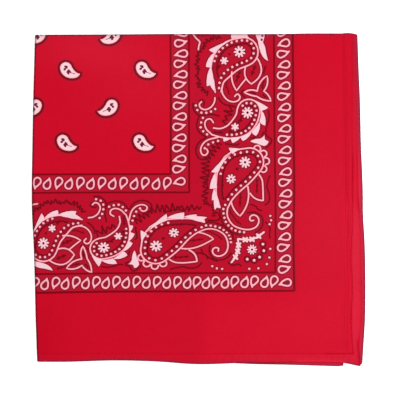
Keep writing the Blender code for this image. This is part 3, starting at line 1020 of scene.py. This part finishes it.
def third_great_paisley():
    """The third and largest, with scallops at its head and a long curled tail."""
    spine = smooth_line((
        (249.5, 162, 14.0), (237.6, 169.4, 18.0), (229.4, 183, 13.2), (224.8, 196, 8.2),
        (224.0, 206, 4.2),
    ), 5)
    edge = beside(spine, 0.0)
    tail = smooth_line((
        (227.6, 208), (227, 214), (229, 220), (233.8, 225.6), (241, 228.6), (249.6, 229.4),
        (256, 226.8), (258.8, 221.4), (257.2, 216.6), (252.8, 215), (249.8, 217.4), (250.6, 220.6),
        (253.6, 220.4),
    ), 4)
    for x, y in ((257.2, 148.8), (263.4, 153.8), (266.0, 161.2), (263.3, 169.0)):
        turn = math.atan2(y - 164, x - 247) + np.linspace(-2.0, 2.0, 12)
        light_line(np.stack([x + 3.3 * np.cos(turn), y + 3.3 * np.sin(turn)], 1), 1.3, ends=False)
        spot_of(x, y, 2.6, HALO_RED, "halo")
    light_line(np.concatenate([edge, tail]))
    dots_on(beside(spine, 3.6), 6.25, start=33.1)
    shaded_rim(spine)
    dots_along((
        (223.4, 209), (223.6, 214), (226, 222.4), (229.4, 226.4), (233.4, 229.6), (241, 232),
        (247, 232.2),
    ), 4.4)
    daisy(245, 162.4, 6.0, 9, 0.0)
    daisy(231, 179, 5.0, 8, 0.2)
    spot_of(237, 169, 1.6, SHADE_RED, "dark")
    filled(((241.0, 149.0, 0.2), (228.6, 148.0, 0.4), (232.6, 154.0, -0.6)))
    filled(((230.0, 154.6, 1.0), (211.2, 172.0, 0.5), (218.2, 172.2, -1.2)))
    filled(((215.6, 172.2, 1.2), (209.8, 188.6, 0.5), (217.0, 187.4, -0.4)))
    filled(((214.2, 188.2, 0.6), (211.9, 200.4, 0.4), (217.6, 197.6, -0.3)))
    filled((
        (213.8, 199.0, 0.3), (214.8, 210.0, 0), (216.8, 207.2, 0), (220.0, 208.2, 0.5),
        (217.2, 196.4, 0.2),
    ), grey=False)
    far_side = smooth_line(((258.8, 174.4), (261.9, 179.6), (262.8, 188), (263.1, 200.5)))
    near_side = bent_line(((263.1, 200.5, -2.2), (249.8, 192.9, 0)), 7)
    light_line(np.concatenate([far_side, near_side]), ends=False)
    light_line(bent_line((
        (247.6, 186.0, -4.0), (240.0, 216.0, -1.7), (231.0, 201.0, 0),
    ), 8), ends=False)
    strokes(257.0, 179.6, 1.6, 9, 1.8)
    strokes(240.4, 193.4, 1.62, 9, 2.0)
    jagged(((229.6, 209), (232.0, 215), (236.0, 220.4), (241.4, 224.4)), 0.9, 1.5, 1.15, seed=43)
    strokes(222.6, 182.0, 1.6, 5, 1.8)
    jagged((
        (219.0, 142.4), (215.4, 148), (209.6, 155.4), (206.0, 162), (204.8, 174), (204.2, 190),
        (205.2, 206),
    ), 4.6, 2.3, 1.6, seed=45)
    wavy(((269.4, 175.6), (266.8, 186.6), (268.8, 193.2), (269.0, 201.4), (264.4, 205.4)), 0.5, seed=46)
    wavy((
        (247.0, 212.8), (254.4, 212.2), (261.4, 216.4), (262.8, 223.6), (259.8, 229.4), (254.2, 232.8),
    ), 0.35, seed=47)
    wavy(((250.4, 204.4), (255.0, 205.8), (258.4, 209.6), (262.4, 210.8)), 0.5, seed=48)
    wavy((
        (220.6, 203), (219.6, 211), (221.8, 221), (226.4, 228.6), (234.6, 233.6), (242.6, 235.0),
    ), 0.3, seed=49)
    wavy(((209.4, 171.0), (207.0, 181), (207.4, 190.0)), 0.5, seed=50)


on_both_arms(
    third_great_paisley, up=5.5, across=1.5, squeeze=0.05, level=236.0,
    stretch=0.070, start=168.0, lift=3.0,
)

# The corner: a daisy in a garland of small blossoms, ringed dots and loose dots.
daisy(251.9, 249.5, 5.2, 10, 0.0)
for garland in (
    ((237.8, 238.8), (245.2, 239.6), (251.9, 239.2), (258.6, 236.1), (263.9, 232)),
    ((237.8, 238.8), (238.5, 245), (237.6, 251.3), (235.4, 257), (231.3, 262.4)),
):
    light_line(smooth_line(garland), 1.6, LIGHT)
    for x, y in garland[1:-1]:
        dot(x, y, 2.1, LIGHT)
        for a, b in ((1.8, -1.8), (-1.8, 1.8), (1.8, 1.8), (-1.8, -1.8)):
            dot(x + a, y + b, 1.0, LIGHT)
for x, y in ((262.8, 244.1), (263.7, 250.6), (259.5, 257), (254.1, 260.2), (247.2, 259.1)):
    turn = np.linspace(0, 2 * math.pi, 13)
    ribbon(np.stack([x + 3.1 * np.cos(turn), y + 3.1 * np.sin(turn)], 1), 1.3, SHADE_RED, "dark")
    spot_of(x, y, 2.8, DEEP_RED, "dark")
    dot(x, y, 1.35, LIGHT)
for x, y in (
    (269.5, 224.2), (271, 220.2), (270.2, 215.8), (270.2, 248.8), (269.2, 257.4), (266.7, 264),
    (258.3, 268.2), (249.2, 268.7), (212.3, 266.1), (216.8, 268.3), (222.1, 268.8),
):
    dot(x, y, 1.15)
jagged(((205.6, 203), (212, 206.4), (215.4, 212), (213.6, 217.4)), 3.0, 1.5, 1.2, seed=51)
wavy(((207.4, 220.0), (213.4, 220.6), (219.4, 219.4), (218.8, 213.6)), 0.5, seed=52)
wavy(((265.2, 221.6), (269.8, 227.6), (269.2, 235), (270.6, 240)), 0.4, seed=53)
wavy(((227.8, 261.6), (231.6, 265.0), (238.4, 264.2), (242.0, 266.4)), 0.4, seed=54)
wavy(((196.0, 252.6), (204.0, 254.0), (211.0, 258.6), (218.4, 261.4)), 0.4, seed=55)


# The cloth itself: triangles within the cut, whose edges follow every printed outline.
def triangles_of(points, edges, cut):
    """Joins points into triangles inside the outline of a cut, keeping to the given edges."""
    found = delaunay_2d_cdt([Vector(p) for p in points], edges, [list(range(cut))], 0, 1e-5, True)
    spots, _, corners, came_from, _, covered = found
    order = {given: new for new, all_given in enumerate(came_from) for given in all_given}
    kept = np.array([corner for corner, over in zip(corners, covered) if over])
    return np.array([(p.x, p.y) for p in spots]), kept, order


def within(outline, x, y):
    """Which places lie inside an outline."""
    ahead = np.roll(outline, -1, axis=0)
    (x0, y0), (x1, y1) = outline.T[:, :, None], ahead.T[:, :, None]
    side = (x1 - x0) * (y - y0) - (x - x0) * (y1 - y0)
    rising = (y0 <= y) & (y1 > y) & (side > 0)
    falling = (y0 > y) & (y1 <= y) & (side < 0)
    return rising.sum(0) != falling.sum(0)


def printed(spots, corners, motifs):
    """The number of the last motif that covers each triangle; 0 is the ground."""
    middle = spots[corners].mean(1)
    order = np.argsort(middle[:, 0])
    x, y = middle[order].T
    top = np.zeros(len(order), int)
    for number, motif in enumerate(motifs, 1):
        (low_x, low_y), (high_x, high_y) = motif.min(0), motif.max(0)
        first, last = np.searchsorted(x, (low_x, high_x))
        near = first + np.flatnonzero((y[first:last] > low_y) & (y[first:last] < high_y))
        top[near[within(motif, x[near], y[near])]] = number
    result = np.zeros(len(order), int)
    result[order] = top
    return result


def rim_edges(corners):
    """The edges that only one triangle has, each in its triangle's direction."""
    ways = np.concatenate([corners[:, [0, 1]], corners[:, [1, 2]], corners[:, [2, 0]]])
    size = corners.max() + 1
    forward = ways[:, 0].astype(np.int64) * size + ways[:, 1]
    backward = ways[:, 1].astype(np.int64) * size + ways[:, 0]
    return ways[~np.isin(forward, backward)]


def all_round(rim):
    """The points of the rim in order."""
    following = {a: b for a, b in rim}
    loop = [rim[0][0]]
    while following[loop[-1]] != loop[0]:
        loop.append(following[loop[-1]])
    return loop


def laid(name, flat):
    """Where places of the cut lie when it is folded and hemmed, and the way its print faces there."""
    x, y = flat.T
    part = part_of(name, x, y)
    way = facing(lambda a, b: turned(name, a, b, part), x, y, QUARTERS[name].faces)
    return turned(name, x, y, part), way


def meet(spot, way, push, i, j):
    """Brings two points together at the mitre."""
    push[i] = push[j] = (way[i] + way[j]) / (1 + way[i] @ way[j])
    spot[i] = spot[j] = (spot[i] + spot[j]) / 2


PAINTED_LIGHT_AND_SHADE_PATCHES = (
    # Middle, half width and half height of each patch of painted light and shade; how much lighter it
    # is, darker where negative, and how much paler with painted sheen.
    (-92.0, 130.0, 48.0, 20.0, 0.045, 0.90), (-42.0, 98.0, 46.0, 34.0, 0.015, 0.55),
    (112.0, -22.0, 46.0, 78.0, 0.025, 0.95), (112.0, 90.0, 44.0, 62.0, 0.010, 0.20),
    (60.0, -112.0, 75.0, 34.0, 0.0, 0.45), (118.0, -112.0, 34.0, 34.0, 0.012, 0.20),
    (-140.0, -124.0, 26.0, 44.0, -0.085, -0.20), (131.0, -133.0, 12.0, 14.0, -0.045, 0.20),
)
PALE = (0.0040, 0.0045, 0.0080)           # what paler cloth and painted sheen add to the colour
EDGE_SHADE_RED = (0.095, 0.0150, 0.0430)        # painted shade where the cloth is rolled or folded
WRONG_SIDE = (0.450, 0.0100, 0.0280)
STITCH_SHADE = 0.5                        # half width of the painted shade along the stitching


def top_tone_and_painted_light(x, y, from_side, from_end, high):
    """How deep and how pale the top quarter's colour is, with painted light and shade, and how much
    painted edge shade lies over it.
    """
    deep, pale = np.ones(len(x)), np.zeros(len(x))
    # Broad patches of painted light and shade, with a painted sheen that makes them paler.
    for at_x, at_y, wide, tall, lighter, paler in PAINTED_LIGHT_AND_SHADE_PATCHES:
        near = np.exp(-(((x - at_x) / wide) ** 2) - ((y - at_y) / tall) ** 2)
        deep += lighter * near
        pale += paler * near
    # A step of painted shade and light divides a darker from a lighter part near the open end, where
    # the cloth tilts two ways.
    painted_slope_shade = ease((x + 2.0 - 0.05 * (y + 100.0)) / 13.0) * ease((-66.0 - y) / 24.0)
    deep += 0.048 * painted_slope_shade
    # The hems are paler, and painted shade lies along the grooves of the stitching.
    side_line, side_in, end_line, end_in = stitching("top", x, y)
    paler_hem = ease((x - side_line) / 1.5) * (0.25 + 1.15 * ease((20.0 - y) / 40.0))
    pale += np.maximum(paler_hem, (0.15 + 0.55 * ease((x + 10.0) / 60.0)) * ease((end_line - y) / 1.5))
    groove = side_in * hump(x, side_line, STITCH_SHADE) * (y > end_line - 1)
    groove = np.maximum(groove, end_in * hump(y, end_line, STITCH_SHADE) * (x < side_line + 1))
    low = ease((-65.0 - y) / 20.0)
    deep -= (0.12 + 0.07 * low) * groove
    pale -= 0.8 * groove
    # Painted shade darkens a hollow beside the stitching lower down, and painted light brightens a fall
    # of cloth above it.
    deep -= 0.06 * low * hump(side_line - x, 4.0, 3.0)
    deep += 0.06 * np.exp(-(((x - 124.4) / 1.8) ** 2) - ((y + 15.0) / 42.0) ** 2)
    # Painted shade darkens its open edges where they roll away, most where nothing lies beyond them; a
    # painted highlight lies along part of the open end.
    lifted = ease((-114.0 - y) / 8.0) + 0.7 * hump(y, -4.0, 9.0)
    line = np.exp(-from_side / (0.8 + 1.1 * lifted)) * (1 - high)
    deep -= (0.26 + 0.06 * lifted) * line
    pale -= (2.0 + 1.2 * lifted) * line
    # Painted shade along the open side higher up.
    side = 0.50 * high * np.exp(-from_side / 1.6)
    # A painted highlight along part of the rolled open end.
    painted_highlight = np.exp(-from_end / 1.1) * ease((x - 78.0) / 12.0) * (x < 126.0)
    pale += 1.6 * painted_highlight
    deep += 0.55 * painted_highlight
    # Painted shade along the rolled open end, much weaker from the middle of the end towards the right.
    beyond = ease((x - 34.0) / 24.0)
    end = np.exp(-from_end / 1.2) * np.where(x > 124.0, 0.92, 0.92 - 0.86 * beyond)
    return deep, pale, side, end


def tone_and_painted_light(name, x, y):
    """How deep and how pale the colour is, with painted light and shade, and how much painted edge
    shade lies over it, at places on a cut.
    """
    half_roll = ROLLED / 2
    from_side = np.abs(open_side(name, y) - ROLL + half_roll - x)
    from_end = np.abs(y - (open_end(name, x) + ROLL - half_roll))
    high = ease((y - 20.0) / 50.0)
    # Painted shade where the cloth bends round its top fold and its left fold.
    top = 0.85 * np.exp(-np.abs(top_rim(name, x) - y) / 1.4)
    left = 0.30 * np.exp(-np.abs(x - left_rim(name, y)) / 1.4)
    if name == "top":
        deep, pale, side, end = top_tone_and_painted_light(x, y, from_side, from_end, high)
    else:
        # The hems beneath are paler. The third quarter's is lighter, with painted light, most of all
        # beside the top quarter's edge, where it lies in that edge's shade; the others are darker
        # higher up.
        deep, pale = np.ones(len(x)), np.full(len(x), 3.0)
        deep += 0.18 if name == "third" else 0.01 - 0.20 * high
        deep += 0.55 * hump(open_end("top", x) - y, 0.4, 0.9) * (name == "third")
        # Painted shade along the rolled edges of the hems beneath.
        side = 0.98 * np.exp(-from_side / 1.25)
        end = 0.90 * np.exp(-from_end / (1.4 if name == "third" else 0.9))
    return deep, pale, np.clip(np.maximum(np.maximum(side, end), np.maximum(top, left)), 0.0, 1.0)


def shell_mesh(piece_name, all_at, triangles, quads):
    """The mesh of a shell, with only the points that its faces use."""
    used, compact = np.unique(np.concatenate([triangles.ravel(), quads.ravel()]), return_inverse=True)
    mesh = bpy.data.meshes.new(piece_name)
    mesh.vertices.add(len(used))
    mesh.vertices.foreach_set("co", (all_at[used] * MM).astype(np.float32).ravel())
    mesh.loops.add(len(compact))
    mesh.loops.foreach_set("vertex_index", compact.astype(np.int32))
    count = len(triangles) + len(quads)
    mesh.polygons.add(count)
    starts = np.concatenate([np.arange(len(triangles)) * 3, triangles.size + np.arange(len(quads)) * 4])
    mesh.polygons.foreach_set("loop_start", starts.astype(np.int32))
    mesh.polygons.foreach_set("use_smooth", np.ones(count, bool))
    mesh.update(calc_edges=True)
    return mesh


# Where the two sides and the rim lie on the map that a printer lays the quarter out on.
MAP_PRINTED, MAP_WRONG, MAP_GAP, MAP_WRONG_X, MAP_RIM = 0.865, 0.118, 0.006, 0.877, 0.0015


def make_quarter(name, motifs, inks, fine):
    """Builds one quarter as a closed thin shell with its print, its hems and its maps."""
    outline, pairs = edge_of_cut(name, 1.6 if fine else 2.4)
    grid, joined = cut_lines(name, fine)
    points, edges = [outline, grid], [(a + len(outline), b + len(outline)) for a, b in joined]
    count = len(outline) + len(grid)
    for motif in motifs:
        points.append(motif)
        after = np.roll(np.arange(len(motif)), -1) + count
        edges += zip(range(count, count + len(motif)), after.tolist())
        count += len(motif)
    spots, corners, order = triangles_of(np.concatenate(points), edges, len(outline))
    # The wrong side is joined more plainly, to the same outline.
    rim = rim_edges(corners)
    loop = all_round(rim)
    plain, joined = cut_lines(name, False)
    joined = [(a + len(loop), b + len(loop)) for a, b in joined]
    plain = np.concatenate([spots[loop], plain])
    back_spots, back_corners, back_order = triangles_of(plain, joined, len(loop))
    # Both sides lie half a thickness off the middle of the cloth, and meet at the mitre.
    front, front_way = laid(name, spots)
    back, back_way = laid(name, back_spots)
    back_way = -back_way
    front_push, back_push = front_way.copy(), back_way.copy()
    behind = {point: back_order[k] for k, point in enumerate(loop)}
    sewn = [(order[one], order[two]) for one, two in pairs]
    for a, b in sewn:
        meet(front, front_way, front_push, a, b)
        meet(back, back_way, back_push, behind[a], behind[b])
    all_at = np.concatenate([front + front_push * CLOTH / 2, back + back_push * CLOTH / 2])
    shift = len(front)
    weld = np.arange(len(all_at))
    for a, b in sewn:
        weld[b] = a
        weld[behind[b] + shift] = behind[a] + shift
    # The two sides, and a narrow rim between them where the cut isn't sewn to itself.
    step = QUARTERS[name].faces
    front_flat, back_flat = corners[:, ::step], back_corners[:, ::-step]
    seam = {order[pairs[-1][0] + 1], *(point for two in sewn for point in two)}
    rim = [(a, b) for a, b in rim if not (a in seam and b in seam)]
    rim_faces = np.array([[b, a, behind[a] + shift, behind[b] + shift][::step] for a, b in rim])
    rim_faces = weld[rim_faces]
    triangles = np.concatenate([weld[front_flat], weld[back_flat + shift]])
    mesh = shell_mesh(name + "_quarter", all_at, triangles, rim_faces)
    # Ink on each corner, with painted light and shade, and painted shade where the cloth rolls and
    # folds.
    front_flat, back_flat = front_flat.ravel(), back_flat.ravel()
    colour = np.ones((len(mesh.loops), 4), np.float32)
    # deep and pale carry the painted light and shade; edge is how much painted edge shade lies over the
    # ink.
    deep, pale, edge = (part[:, None] for part in tone_and_painted_light(name, *spots[front_flat].T))
    ink = np.repeat(np.array(inks)[printed(spots, corners, motifs)], 3, axis=0) * deep + pale * PALE
    colour[: len(front_flat), :3] = ink * (1 - edge) + edge * EDGE_SHADE_RED
    colour[len(front_flat):, :3] = WRONG_SIDE
    layer = mesh.color_attributes.new("ink", "FLOAT_COLOR", "CORNER")
    layer.data.foreach_set("color", colour.ravel())
    # The cloth's own map for the weave, and the map that a printer lays it out on.
    low = spots[loop].min(0)
    span = (spots[loop].max(0) - low).max()
    front_map, back_map = (spots[front_flat] - low) / span, (back_spots[back_flat] - low) / span
    rim_map = []
    for a, b in rim:
        pa, pb = (spots[a] - low) / span, (spots[b] - low) / span
        along = pb - pa
        out = np.array((along[1], -along[0])) / max(np.linalg.norm(along), 1e-9) * MAP_RIM
        rim_map += [pb, pa, pa + out, pb + out][::step]
    rim_map = np.array(rim_map)
    laid_out = np.concatenate([
        MAP_GAP + front_map * MAP_PRINTED,
        np.array((MAP_WRONG_X, MAP_GAP)) + back_map * MAP_WRONG,
        MAP_GAP + rim_map * MAP_PRINTED,
    ])
    weave = np.concatenate([front_map, back_map, rim_map]) * span
    for map_name, uv in (("weave", weave * 0.01), ("OFBake", laid_out)):
        mesh.uv_layers.new(name=map_name).data.foreach_set("uv", uv.astype(np.float32).ravel())
    mesh.uv_layers["OFBake"].active = True
    # Exact normals, so the thin triangles of the print don't show.
    quads = all_at[rim_faces]
    rim_way = np.cross(quads[:, 1] - quads[:, 0], quads[:, 3] - quads[:, 0])
    rim_way /= np.maximum(np.linalg.norm(rim_way, axis=1, keepdims=True), 1e-9)
    ways = [front_way[front_flat], back_way[back_flat], np.repeat(rim_way, 4, axis=0)]
    mesh.normals_split_custom_set(np.concatenate(ways))
    piece = bpy.data.objects.new(mesh.name, mesh)
    bpy.context.scene.collection.objects.link(piece)
    return piece


# The print is the same on the under quarter, drawn in to its own open side.
def on_cut(outline, name):
    """A drawn outline on the cut of a quarter, in millimetres."""
    x = (outline[:, 0] - GRID_MIDDLE[0]) * STEP
    y = (GRID_MIDDLE[1] - outline[:, 1]) * STEP
    if name != "top":
        left = left_fold(y)
        x = left + (x - left) * (open_side(name, y) - left) / (open_side("top", y) - left)
    return np.stack([x, y], 1)


def drawn_on(name):
    """All motifs in the order they are printed, and their inks after that of the ground."""
    in_order = sorted(shapes, key=lambda shape: LAYERS.index(shape[2]))
    inks = [ink for _, ink, _ in in_order]
    return [on_cut(outline, name) for outline, _, _ in in_order], [RED, *inks]


def new_material(name, roughness, gloss):
    """A material of its own tree, with its shader's evenly spread values set."""
    material = bpy.data.materials.new(name)
    material.use_nodes = True
    shader = material.node_tree.nodes["Principled BSDF"]
    shader.inputs["Roughness"].default_value = roughness
    shader.inputs["Specular IOR Level"].default_value = gloss
    return material, shader


def add_node(tree, kind, values=(), **settings):
    """A node with its settings and the values of its inputs."""
    node = tree.nodes.new(kind)
    for name, setting in settings.items():
        setattr(node, name, setting)
    for socket, value_set in dict(values).items():
        node.inputs[socket].default_value = value_set
    return node


def woven_cotton():
    """Printed cotton: the ink of each place, a little uneven, over a fine plain weave."""
    material, shader = new_material("printed_cotton", 0.86, 0.06)
    tree, link = material.node_tree, material.node_tree.links.new
    ink = add_node(tree, "ShaderNodeVertexColor", layer_name="ink")
    way = add_node(tree, "ShaderNodeUVMap", uv_map="weave").outputs["UV"]
    broad = add_node(tree, "ShaderNodeTexNoise", {"Scale": 9.0, "Detail": 3.0})
    link(way, broad.inputs["Vector"])
    # Slubs are thicker stretches of thread, drawn out along either way of the weave.
    both = add_node(tree, "ShaderNodeMath", operation="ADD")
    for k, stretch in enumerate(((60.0, 9.0, 1.0), (9.0, 60.0, 1.0))):
        drawn_out = add_node(tree, "ShaderNodeMapping", {"Scale": stretch})
        slub = add_node(tree, "ShaderNodeTexNoise", {"Scale": 1.6, "Detail": 2.0})
        link(way, drawn_out.inputs["Vector"])
        link(drawn_out.outputs["Vector"], slub.inputs["Vector"])
        link(slub.outputs["Fac"], both.inputs[k])
    woven = add_node(tree, "ShaderNodeMath", operation="MULTIPLY")
    for k, axis in enumerate(("X", "Y")):
        evenness = {"Scale": 76.0, "Distortion": 0.6}
        thread = add_node(tree, "ShaderNodeTexWave", evenness, bands_direction=axis)
        link(way, thread.inputs["Vector"])
        link(thread.outputs["Fac"], woven.inputs[k])
    # The dye is up to a twentieth lighter or darker.
    uneven = add_node(tree, "ShaderNodeMath", {1: 0.6}, operation="MULTIPLY_ADD")
    link(broad.outputs["Fac"], uneven.inputs[0])
    link(both.outputs[0], uneven.inputs[2])
    reach = {"From Min": 0.9, "From Max": 1.7, "To Min": 0.95, "To Max": 1.05}
    tone = add_node(tree, "ShaderNodeMapRange", reach)
    link(uneven.outputs[0], tone.inputs["Value"])
    dyed = add_node(tree, "ShaderNodeVectorMath", operation="SCALE")
    link(ink.outputs["Color"], dyed.inputs[0])
    link(tone.outputs["Result"], dyed.inputs["Scale"])
    link(dyed.outputs["Vector"], shader.inputs["Base Color"])
    # The weave and the slubs stand up a little.
    height = add_node(tree, "ShaderNodeMath", {1: 0.25}, operation="MULTIPLY_ADD")
    link(woven.outputs[0], height.inputs[0])
    link(both.outputs[0], height.inputs[2])
    relief = add_node(tree, "ShaderNodeBump", {"Strength": 0.5, "Distance": 0.0001})
    link(height.outputs[0], relief.inputs["Height"])
    link(relief.outputs["Normal"], shader.inputs["Normal"])
    return material


printed_cotton = woven_cotton()
motifs, inks = drawn_on("top")
top_quarter = make_quarter("top", motifs, inks, True)
top_quarter.data.materials.append(printed_cotton)
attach(top_quarter, "root")
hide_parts("top_panel", "top_side_hem", "top_end_hem")

# ==== The three quarters beneath ====
# The same cloth goes on under the folds, in the same cotton. The inner two lie print to print and
# only their hems show; the under quarter rests on the table with its print down.
for name, nodes_replaced in (
    ("second", ("second_side_hem", "second_end_hem")),
    ("third", ("third_side_hem", "third_end_hem", "inner_layers")),
    ("under", ("under_panel", "under_side_hem", "under_end_hem")),
):
    motifs, inks = drawn_on(name) if name == "under" else ([], [RED])
    quarter = make_quarter(name, motifs, inks, False)
    quarter.data.materials.append(printed_cotton)
    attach(quarter, "root")
    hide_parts(*nodes_replaced)

# ==== The stitching ====
# One line of red cotton thread holds each hem down, sewn from the outside of the folded cloth.
# Only the top stitches show; each is a short round stretch whose ends dip into the cotton.
THREAD, STITCH_LONG, STITCH_PITCH = 0.17, 2.1, 2.9      # half thickness, length and spacing
THREAD_SIDES = 6
# Places along a stitch as shares of its length, and how full the thread is there.
STITCH_RINGS = ((-0.5, 0.25), (-0.42, 0.8), (-0.2, 1.0), (0.2, 1.0), (0.42, 0.8), (0.5, 0.25))
# X and Y where the two lines of stitching meet.
STITCH_CORNER = {"top": (131.2, END_STITCH_Y), "under": (116.5, -133.0)}


def stitch_row(name):
    """All stitches along the open side and the open end of a quarter, as one piece."""
    corner_x, corner_y = STITCH_CORNER[name]
    side_y = np.arange(corner_y, 139.0, STITCH_PITCH)
    end_x = np.arange(-137.0, corner_x, STITCH_PITCH)
    side_line, end_line = stitching(name, side_y, side_y)[0], stitching(name, end_x, end_x)[2]
    middles = np.concatenate([np.stack([side_line, side_y], 1), np.stack([end_x, end_line], 1)])
    ways = np.concatenate([np.tile((0.0, 1.0), (len(side_y), 1)), np.tile((1.0, 0.0), (len(end_x), 1))])
    points = []
    for along, wide in STITCH_RINGS:
        x, y = (middles + ways * along * STITCH_LONG).T
        at = lie(name, x, y)
        out = facing(lambda a, b: lie(name, a, b), x, y, QUARTERS[name].faces)
        ahead = lie(name, x + ways[:, 0] * 0.1, y + ways[:, 1] * 0.1) - at
        ahead /= np.linalg.norm(ahead, axis=1, keepdims=True)
        aside = np.cross(out, ahead)
        dip = CLOTH / 2 + THREAD * (0.35 - 1.2 * (abs(along) / 0.5) ** 4)
        if name == "under":
            dip = min(dip, CLOTH / 2 + GROOVE_DEEP - THREAD)
        for k in range(THREAD_SIDES):
            turn = 2 * math.pi * k / THREAD_SIDES
            round_thread = out * math.sin(turn) + aside * math.cos(turn)
            points.append(at + out * dip + round_thread * THREAD * wide)
    points = np.stack(points, 1)
    count, per_stitch = points.shape[:2]
    polygons = []
    for first in range(0, count * per_stitch, per_stitch):
        for ring in range(first, first + per_stitch - THREAD_SIDES, THREAD_SIDES):
            for k in range(THREAD_SIDES):
                a, b = ring + k, ring + (k + 1) % THREAD_SIDES
                polygons.append((a, b, b + THREAD_SIDES, a + THREAD_SIDES))
        polygons.append([first + k for k in reversed(range(THREAD_SIDES))])
        polygons.append([first + per_stitch - THREAD_SIDES + k for k in range(THREAD_SIDES)])
    mesh = bpy.data.meshes.new(name + "_hem_stitches")
    mesh.from_pydata((points.reshape(-1, 3) * MM).tolist(), [], polygons)
    mesh.polygons.foreach_set("use_smooth", np.ones(len(polygons), bool))
    row = bpy.data.objects.new(mesh.name, mesh)
    bpy.context.scene.collection.objects.link(row)
    return row


def twisted_thread():
    """Red sewing thread whose shade changes along its twist."""
    material, shader = new_material("thread_cotton", 0.8, 0.08)
    tree, link = material.node_tree, material.node_tree.links.new
    twist = add_node(tree, "ShaderNodeTexNoise", {"Scale": 900.0})
    shades = add_node(tree, "ShaderNodeValToRGB")
    shades.color_ramp.elements[0].color = (0.40, 0.003, 0.014, 1.0)
    shades.color_ramp.elements[1].color = (0.47, 0.004, 0.018, 1.0)
    link(twist.outputs["Fac"], shades.inputs["Fac"])
    link(shades.outputs["Color"], shader.inputs["Base Color"])
    return material


thread_cotton = twisted_thread()
for name in ("top", "under"):
    row = stitch_row(name)
    row.data.materials.append(thread_cotton)
    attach(row, "root")

# ==== The table, the light and the camera ====
# The folded cloth lies on a plain white table. A large soft light stands on the right, an even one
# comes from all round and above, and the camera looks straight down from far off.
HALF_TABLE, TABLE_LEVEL = 4.0, -0.0003
table_corners = [
    (x * HALF_TABLE, y * HALF_TABLE, TABLE_LEVEL) for x, y in ((-1, -1), (1, -1), (1, 1), (-1, 1))
]
floor_mesh = bpy.data.meshes.new("floor")
floor_mesh.from_pydata(table_corners, [], [(0, 1, 2, 3)])
white_table, table_shader = new_material("white_table", 0.9, 0.5)
table_shader.inputs["Base Color"].default_value = (0.97, 0.97, 0.97, 1.0)
table_shader.inputs["Emission Color"].default_value = (1.0, 1.0, 1.0, 1.0)
table_shader.inputs["Emission Strength"].default_value = 0.7
floor_mesh.materials.append(white_table)
floor = bpy.data.objects.new("floor", floor_mesh)
floor.visible_diffuse = False
bpy.context.scene.collection.objects.link(floor)

# The light all round is brightest from above and a little to the right; behind everything is white.
world = bpy.data.worlds.new("studio")
world.use_nodes = True
bpy.context.scene.world = world
sky, sky_link = world.node_tree, world.node_tree.links.new
background = sky.nodes["Background"]
background.inputs["Color"].default_value = (1.0, 1.0, 1.0, 1.0)
around = add_node(sky, "ShaderNodeTexCoord")
from_above = add_node(sky, "ShaderNodeVectorMath", {1: (0.55, 0.0, 1.0)}, operation="DOT_PRODUCT")
reach = {"From Min": 0.0, "From Max": 1.14, "To Min": 0.12, "To Max": 1.35}
brighter = add_node(sky, "ShaderNodeMapRange", reach)
seen = add_node(sky, "ShaderNodeLightPath")
white_behind = add_node(sky, "ShaderNodeMath", operation="MAXIMUM")
sky_link(around.outputs["Generated"], from_above.inputs[0])
sky_link(from_above.outputs["Value"], brighter.inputs["Value"])
sky_link(brighter.outputs["Result"], white_behind.inputs[0])
sky_link(seen.outputs["Is Camera Ray"], white_behind.inputs[1])
sky_link(white_behind.outputs[0], background.inputs["Strength"])

lamp = bpy.data.lights.new("key_light", "AREA")
lamp.shape = "RECTANGLE"
lamp.size, lamp.size_y = 0.9, 0.9
lamp.energy = 24.4
key_light = bpy.data.objects.new("key_light", lamp)
key_light.location = (1.5, 0.5, 1.25)
key_light.rotation_euler = (-key_light.location).to_track_quat("-Z", "Y").to_euler()
bpy.context.scene.collection.objects.link(key_light)

FRAME_WIDE = 400 * STEP * MM               # how much of the table the picture takes in
camera_data = bpy.data.cameras.new("camera")
camera_data.lens = 300.0
camera_data.sensor_width = 36.0
camera_data.clip_end = 100.0
camera = bpy.data.objects.new("camera", camera_data)
camera.location = (1.27 * MM, -0.25 * MM, FRAME_WIDE * camera_data.lens / camera_data.sensor_width)
bpy.context.scene.collection.objects.link(camera)
bpy.context.scene.camera = camera
bpy.context.scene.view_settings.view_transform = "Standard"
